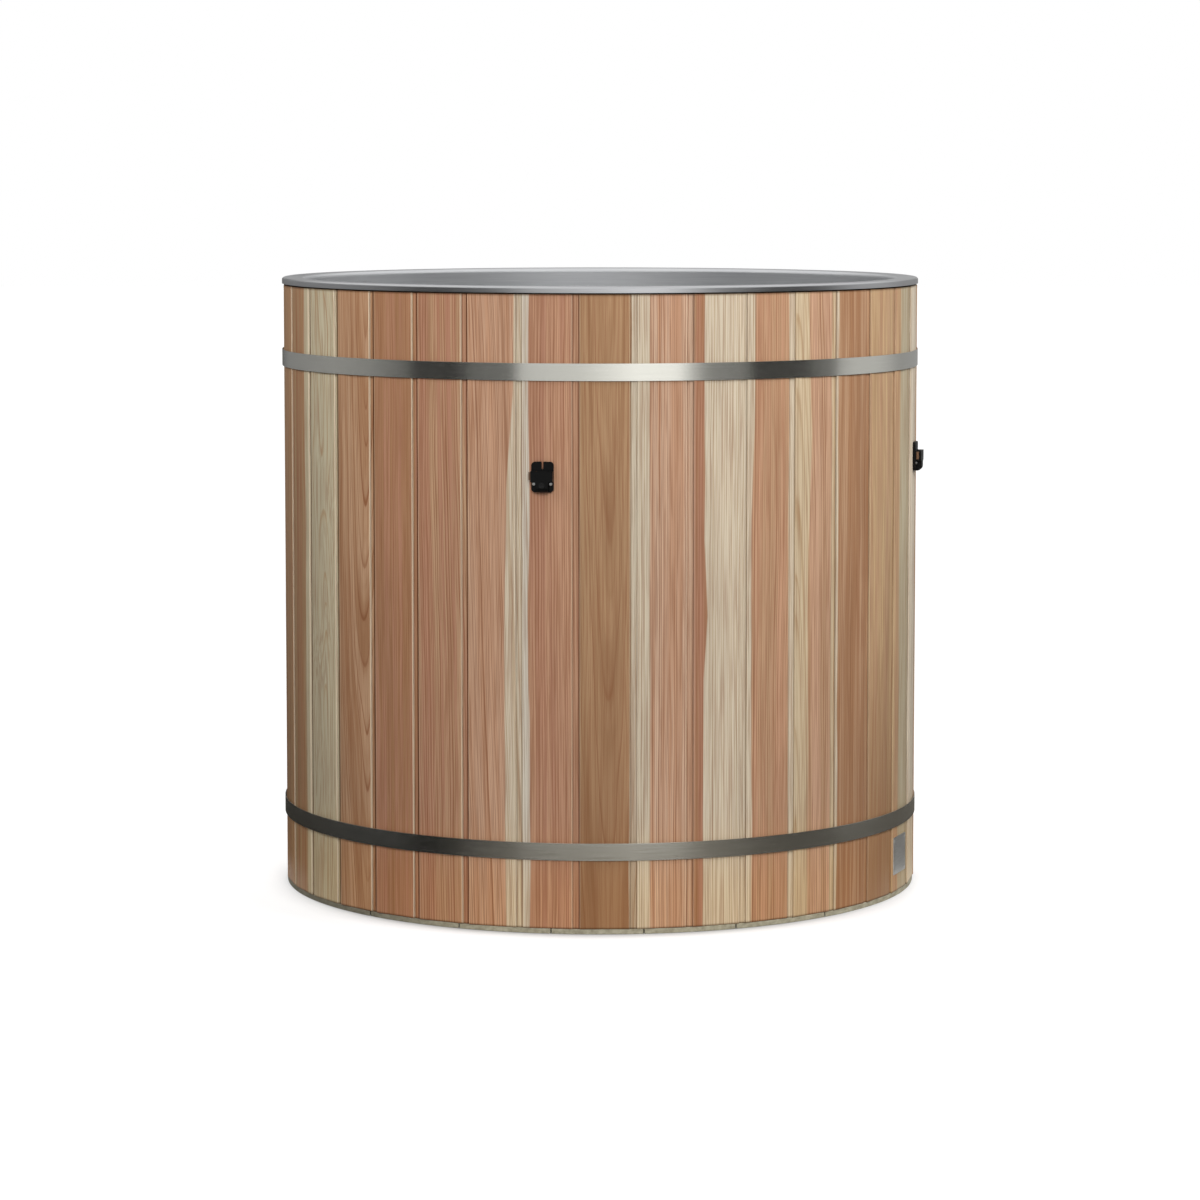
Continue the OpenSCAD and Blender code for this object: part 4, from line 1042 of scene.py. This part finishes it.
def seen_directly(tree):
    """1 for camera rays and for reflections and refractions, 0 for the light they gather."""
    rays = node(tree, "LightPath", {})
    mirrored = node(tree, "Math", {0: rays["Is Glossy Ray"], 1: rays["Is Transmission Ray"]},
                    operation="MAXIMUM")[0]
    return node(tree, "Math", {0: rays["Is Camera Ray"], 1: mirrored}, operation="MAXIMUM")[0]


def on_floor(tree, place, ends, shift=0):
    """0 to 1 between two distances on the floor, from a point in front of the axis by shift."""
    moved = node(tree, "VectorMath", {0: place, 1: (0, shift, 0)})[0]
    return node(tree, "MapRange", {"Value": from_axis(tree, moved), "From Min": ends[0],
                                   "From Max": ends[1]})[0]


paint, tree, shader = material("pale floor")
place = node(tree, "TexCoord", {})["Object"]
mottle = node(tree, "TexNoise", {"Vector": place, "Scale": 2.0, "Detail": 2.0})["Fac"]
colour = node(tree, "ValToRGB", {"Fac": mottle}, [(0.3, "#BEBEBE"), (0.7, "#C4C4C4")])["Color"]
# Painted shadow at the barrel's foot, measured from a point a little in front of its axis.
foot = node(tree, "ValToRGB", {"Fac": on_floor(tree, place, PAINTED_SHADOW_R, PAINTED_SHADOW_SHIFT)}, GLOW_WITH_PAINTED_SHADOW)
further = node(tree, "ValToRGB", {"Fac": on_floor(tree, place, FAR_R)}, FAR_GLOW)
glow = node(tree, "Math", {0: foot["Color"], 1: further["Color"]}, operation="ADD")[0]
open_floor = node(tree, "MapRange", {"Value": on_floor(tree, place, UNDER_R), "From Min": 0.0,
                                     "From Max": 1.0}, interpolation_type="SMOOTHSTEP")[0]
glow = node(tree, "Math", {0: glow, 1: open_floor}, operation="MULTIPLY")[0]
glow = node(tree, "Math", {0: seen_directly(tree), 1: glow}, operation="MULTIPLY")[0]
wire(tree, shader, {"Base Color": colour, "Roughness": 0.9, "Emission Color": (1, 1, 1, 1),
                    "Emission Strength": glow})
floor.data.materials.append(paint)

world = bpy.data.worlds.new("white surround")
bpy.context.scene.world = world
world.use_nodes = True
tree = world.node_tree
light = node(tree, "MapRange", {"Value": seen_directly(tree), "From Min": 0.0, "From Max": 1.0,
                                "To Min": AMBIENT, "To Max": 1.0})[0]
wire(tree, tree.nodes["Background"], {"Color": (1, 1, 1, 1), "Strength": light})
print("stage:", floor.name, "and", world.name)


# %% Lamps
def soft_lamp(name, place, target, size, power):
    """A rectangular lamp that shines from place towards target and doesn't show in the steel."""
    bpy.ops.object.light_add(type="AREA", location=place)
    lamp = bpy.context.object
    lamp.name = name
    lamp.data.shape = "RECTANGLE"
    lamp.data.size, lamp.data.size_y = size
    lamp.data.energy = power
    lamp.rotation_euler = (Vector(target) - Vector(place)).to_track_quat("-Z", "Y").to_euler()
    lamp.visible_glossy = False
    print(name, "lamp:", power, "W")


soft_lamp("front", (0.2, -4.6, 2.6), (0, 0, 0.5), (2.4, 1.6), 125)
soft_lamp("right", (2.0, -0.9, 2.2), (0.3, 0, 0.6), (1.2, 1.2), 38)
soft_lamp("left", (-1.6, -0.8, 1.9), (-0.3, 0, 0.6), (1.0, 1.0), 17)
soft_lamp("back", (0, 2.6, 3.0), (0, 0, 0.6), (2.4, 1.4), 60)

# %% [markdown]
# Metal shows what stands round it. A photographer would set grey and black cards about the barrel;
# here one ring of card, which only reflections see, carries their tones round the compass, and
# another lies on the floor for the lower hoop, which mirrors the floor in front of it.

# %% Cards for the steel to mirror
CARD_STEPS = 96
# Tones are (turn in degrees from the front, brightness).
WALL_TONES = [
    (-180, 0.3), (-160, 0.12), (-145, 0.24), (-105, 0.34), (-86, 0.3), (-76, 0.22), (-68, 0.15),
    (-65, 0.05), (-50, 0.04), (-46, 0.09), (-43, 0.16), (-29, 0.18), (-26, 0.72), (-6, 0.84),
    (0, 1.0), (12, 1.34), (26, 1.28), (31, 0.64), (36, 0.3), (50, 0.22), (53, 0.04), (72, 0.06),
    (79, 0.15), (87, 0.22), (90, 0.5), (98, 0.62), (112, 0.6), (130, 0.36), (180, 0.3)]
FLOOR_TONES = [
    (-180, 0.04), (-100, 0.03), (-75, 0.01), (-45, 0.01), (-30, 0.1), (-10, 0.22), (8, 0.27),
    (25, 0.22), (40, 0.14), (60, 0.09), (100, 0.1), (144, 0.12), (180, 0.1)]


def card_ring(name, tones, tint, low, high):
    """A ring of card about the axis; low and high are (radius, height) of its two edges."""
    nothing_selected()
    bpy.ops.mesh.primitive_cylinder_add(vertices=CARD_STEPS, radius=low[0], depth=1,
                                        end_fill_type="NOTHING", location=(0, 0, 0.5))
    ring = begin(name)
    pick("verts", lambda c, n: c.z < 0.5)
    bpy.ops.transform.translate(value=(0, 0, low[1]))
    pick("verts", lambda c, n: c.z > 0.99)
    bpy.ops.transform.resize(value=(high[0] / low[0], high[0] / low[0], 1),
                             center_override=(0, 0, 1))
    bpy.ops.transform.translate(value=(0, 0, high[1] - 1))
    close(ring)
    card, tree, shader = material(name + " card")
    parts = node(tree, "SeparateXYZ", {0: node(tree, "TexCoord", {})["Object"]})
    forward = node(tree, "Math", {0: parts["Y"], 1: -1}, operation="MULTIPLY")[0]
    turn = node(tree, "Math", {0: parts["X"], 1: forward}, operation="ARCTAN2")[0]
    share = node(tree, "MapRange", {"Value": turn, "From Min": -math.pi, "From Max": math.pi})[0]
    shade = node(tree, "ValToRGB", {"Fac": share},
                 [((degrees + 180) / 360, tone) for degrees, tone in tones])["Color"]
    tinted = node(tree, "Mix", {0: 1.0, 6: shade, 7: linear(tint)}, blend_type="MULTIPLY")[2]
    wire(tree, shader, {"Base Color": (0, 0, 0, 1), "Specular IOR Level": 0,
                        "Emission Color": tinted, "Emission Strength": 1.0})
    ring.data.materials.append(card)
    ring.visible_camera = ring.visible_diffuse = ring.visible_shadow = False
    ring.visible_transmission = ring.visible_volume_scatter = False
    print(name, "tones:", len(tones))


card_ring("wall", WALL_TONES, "#FFFFFF", (4.5, 0.01), (4.5, 3.0))
card_ring("floor_ring", FLOOR_TONES, "#FFF6E8", (0.6, 0.001), (4.4, 0.002))
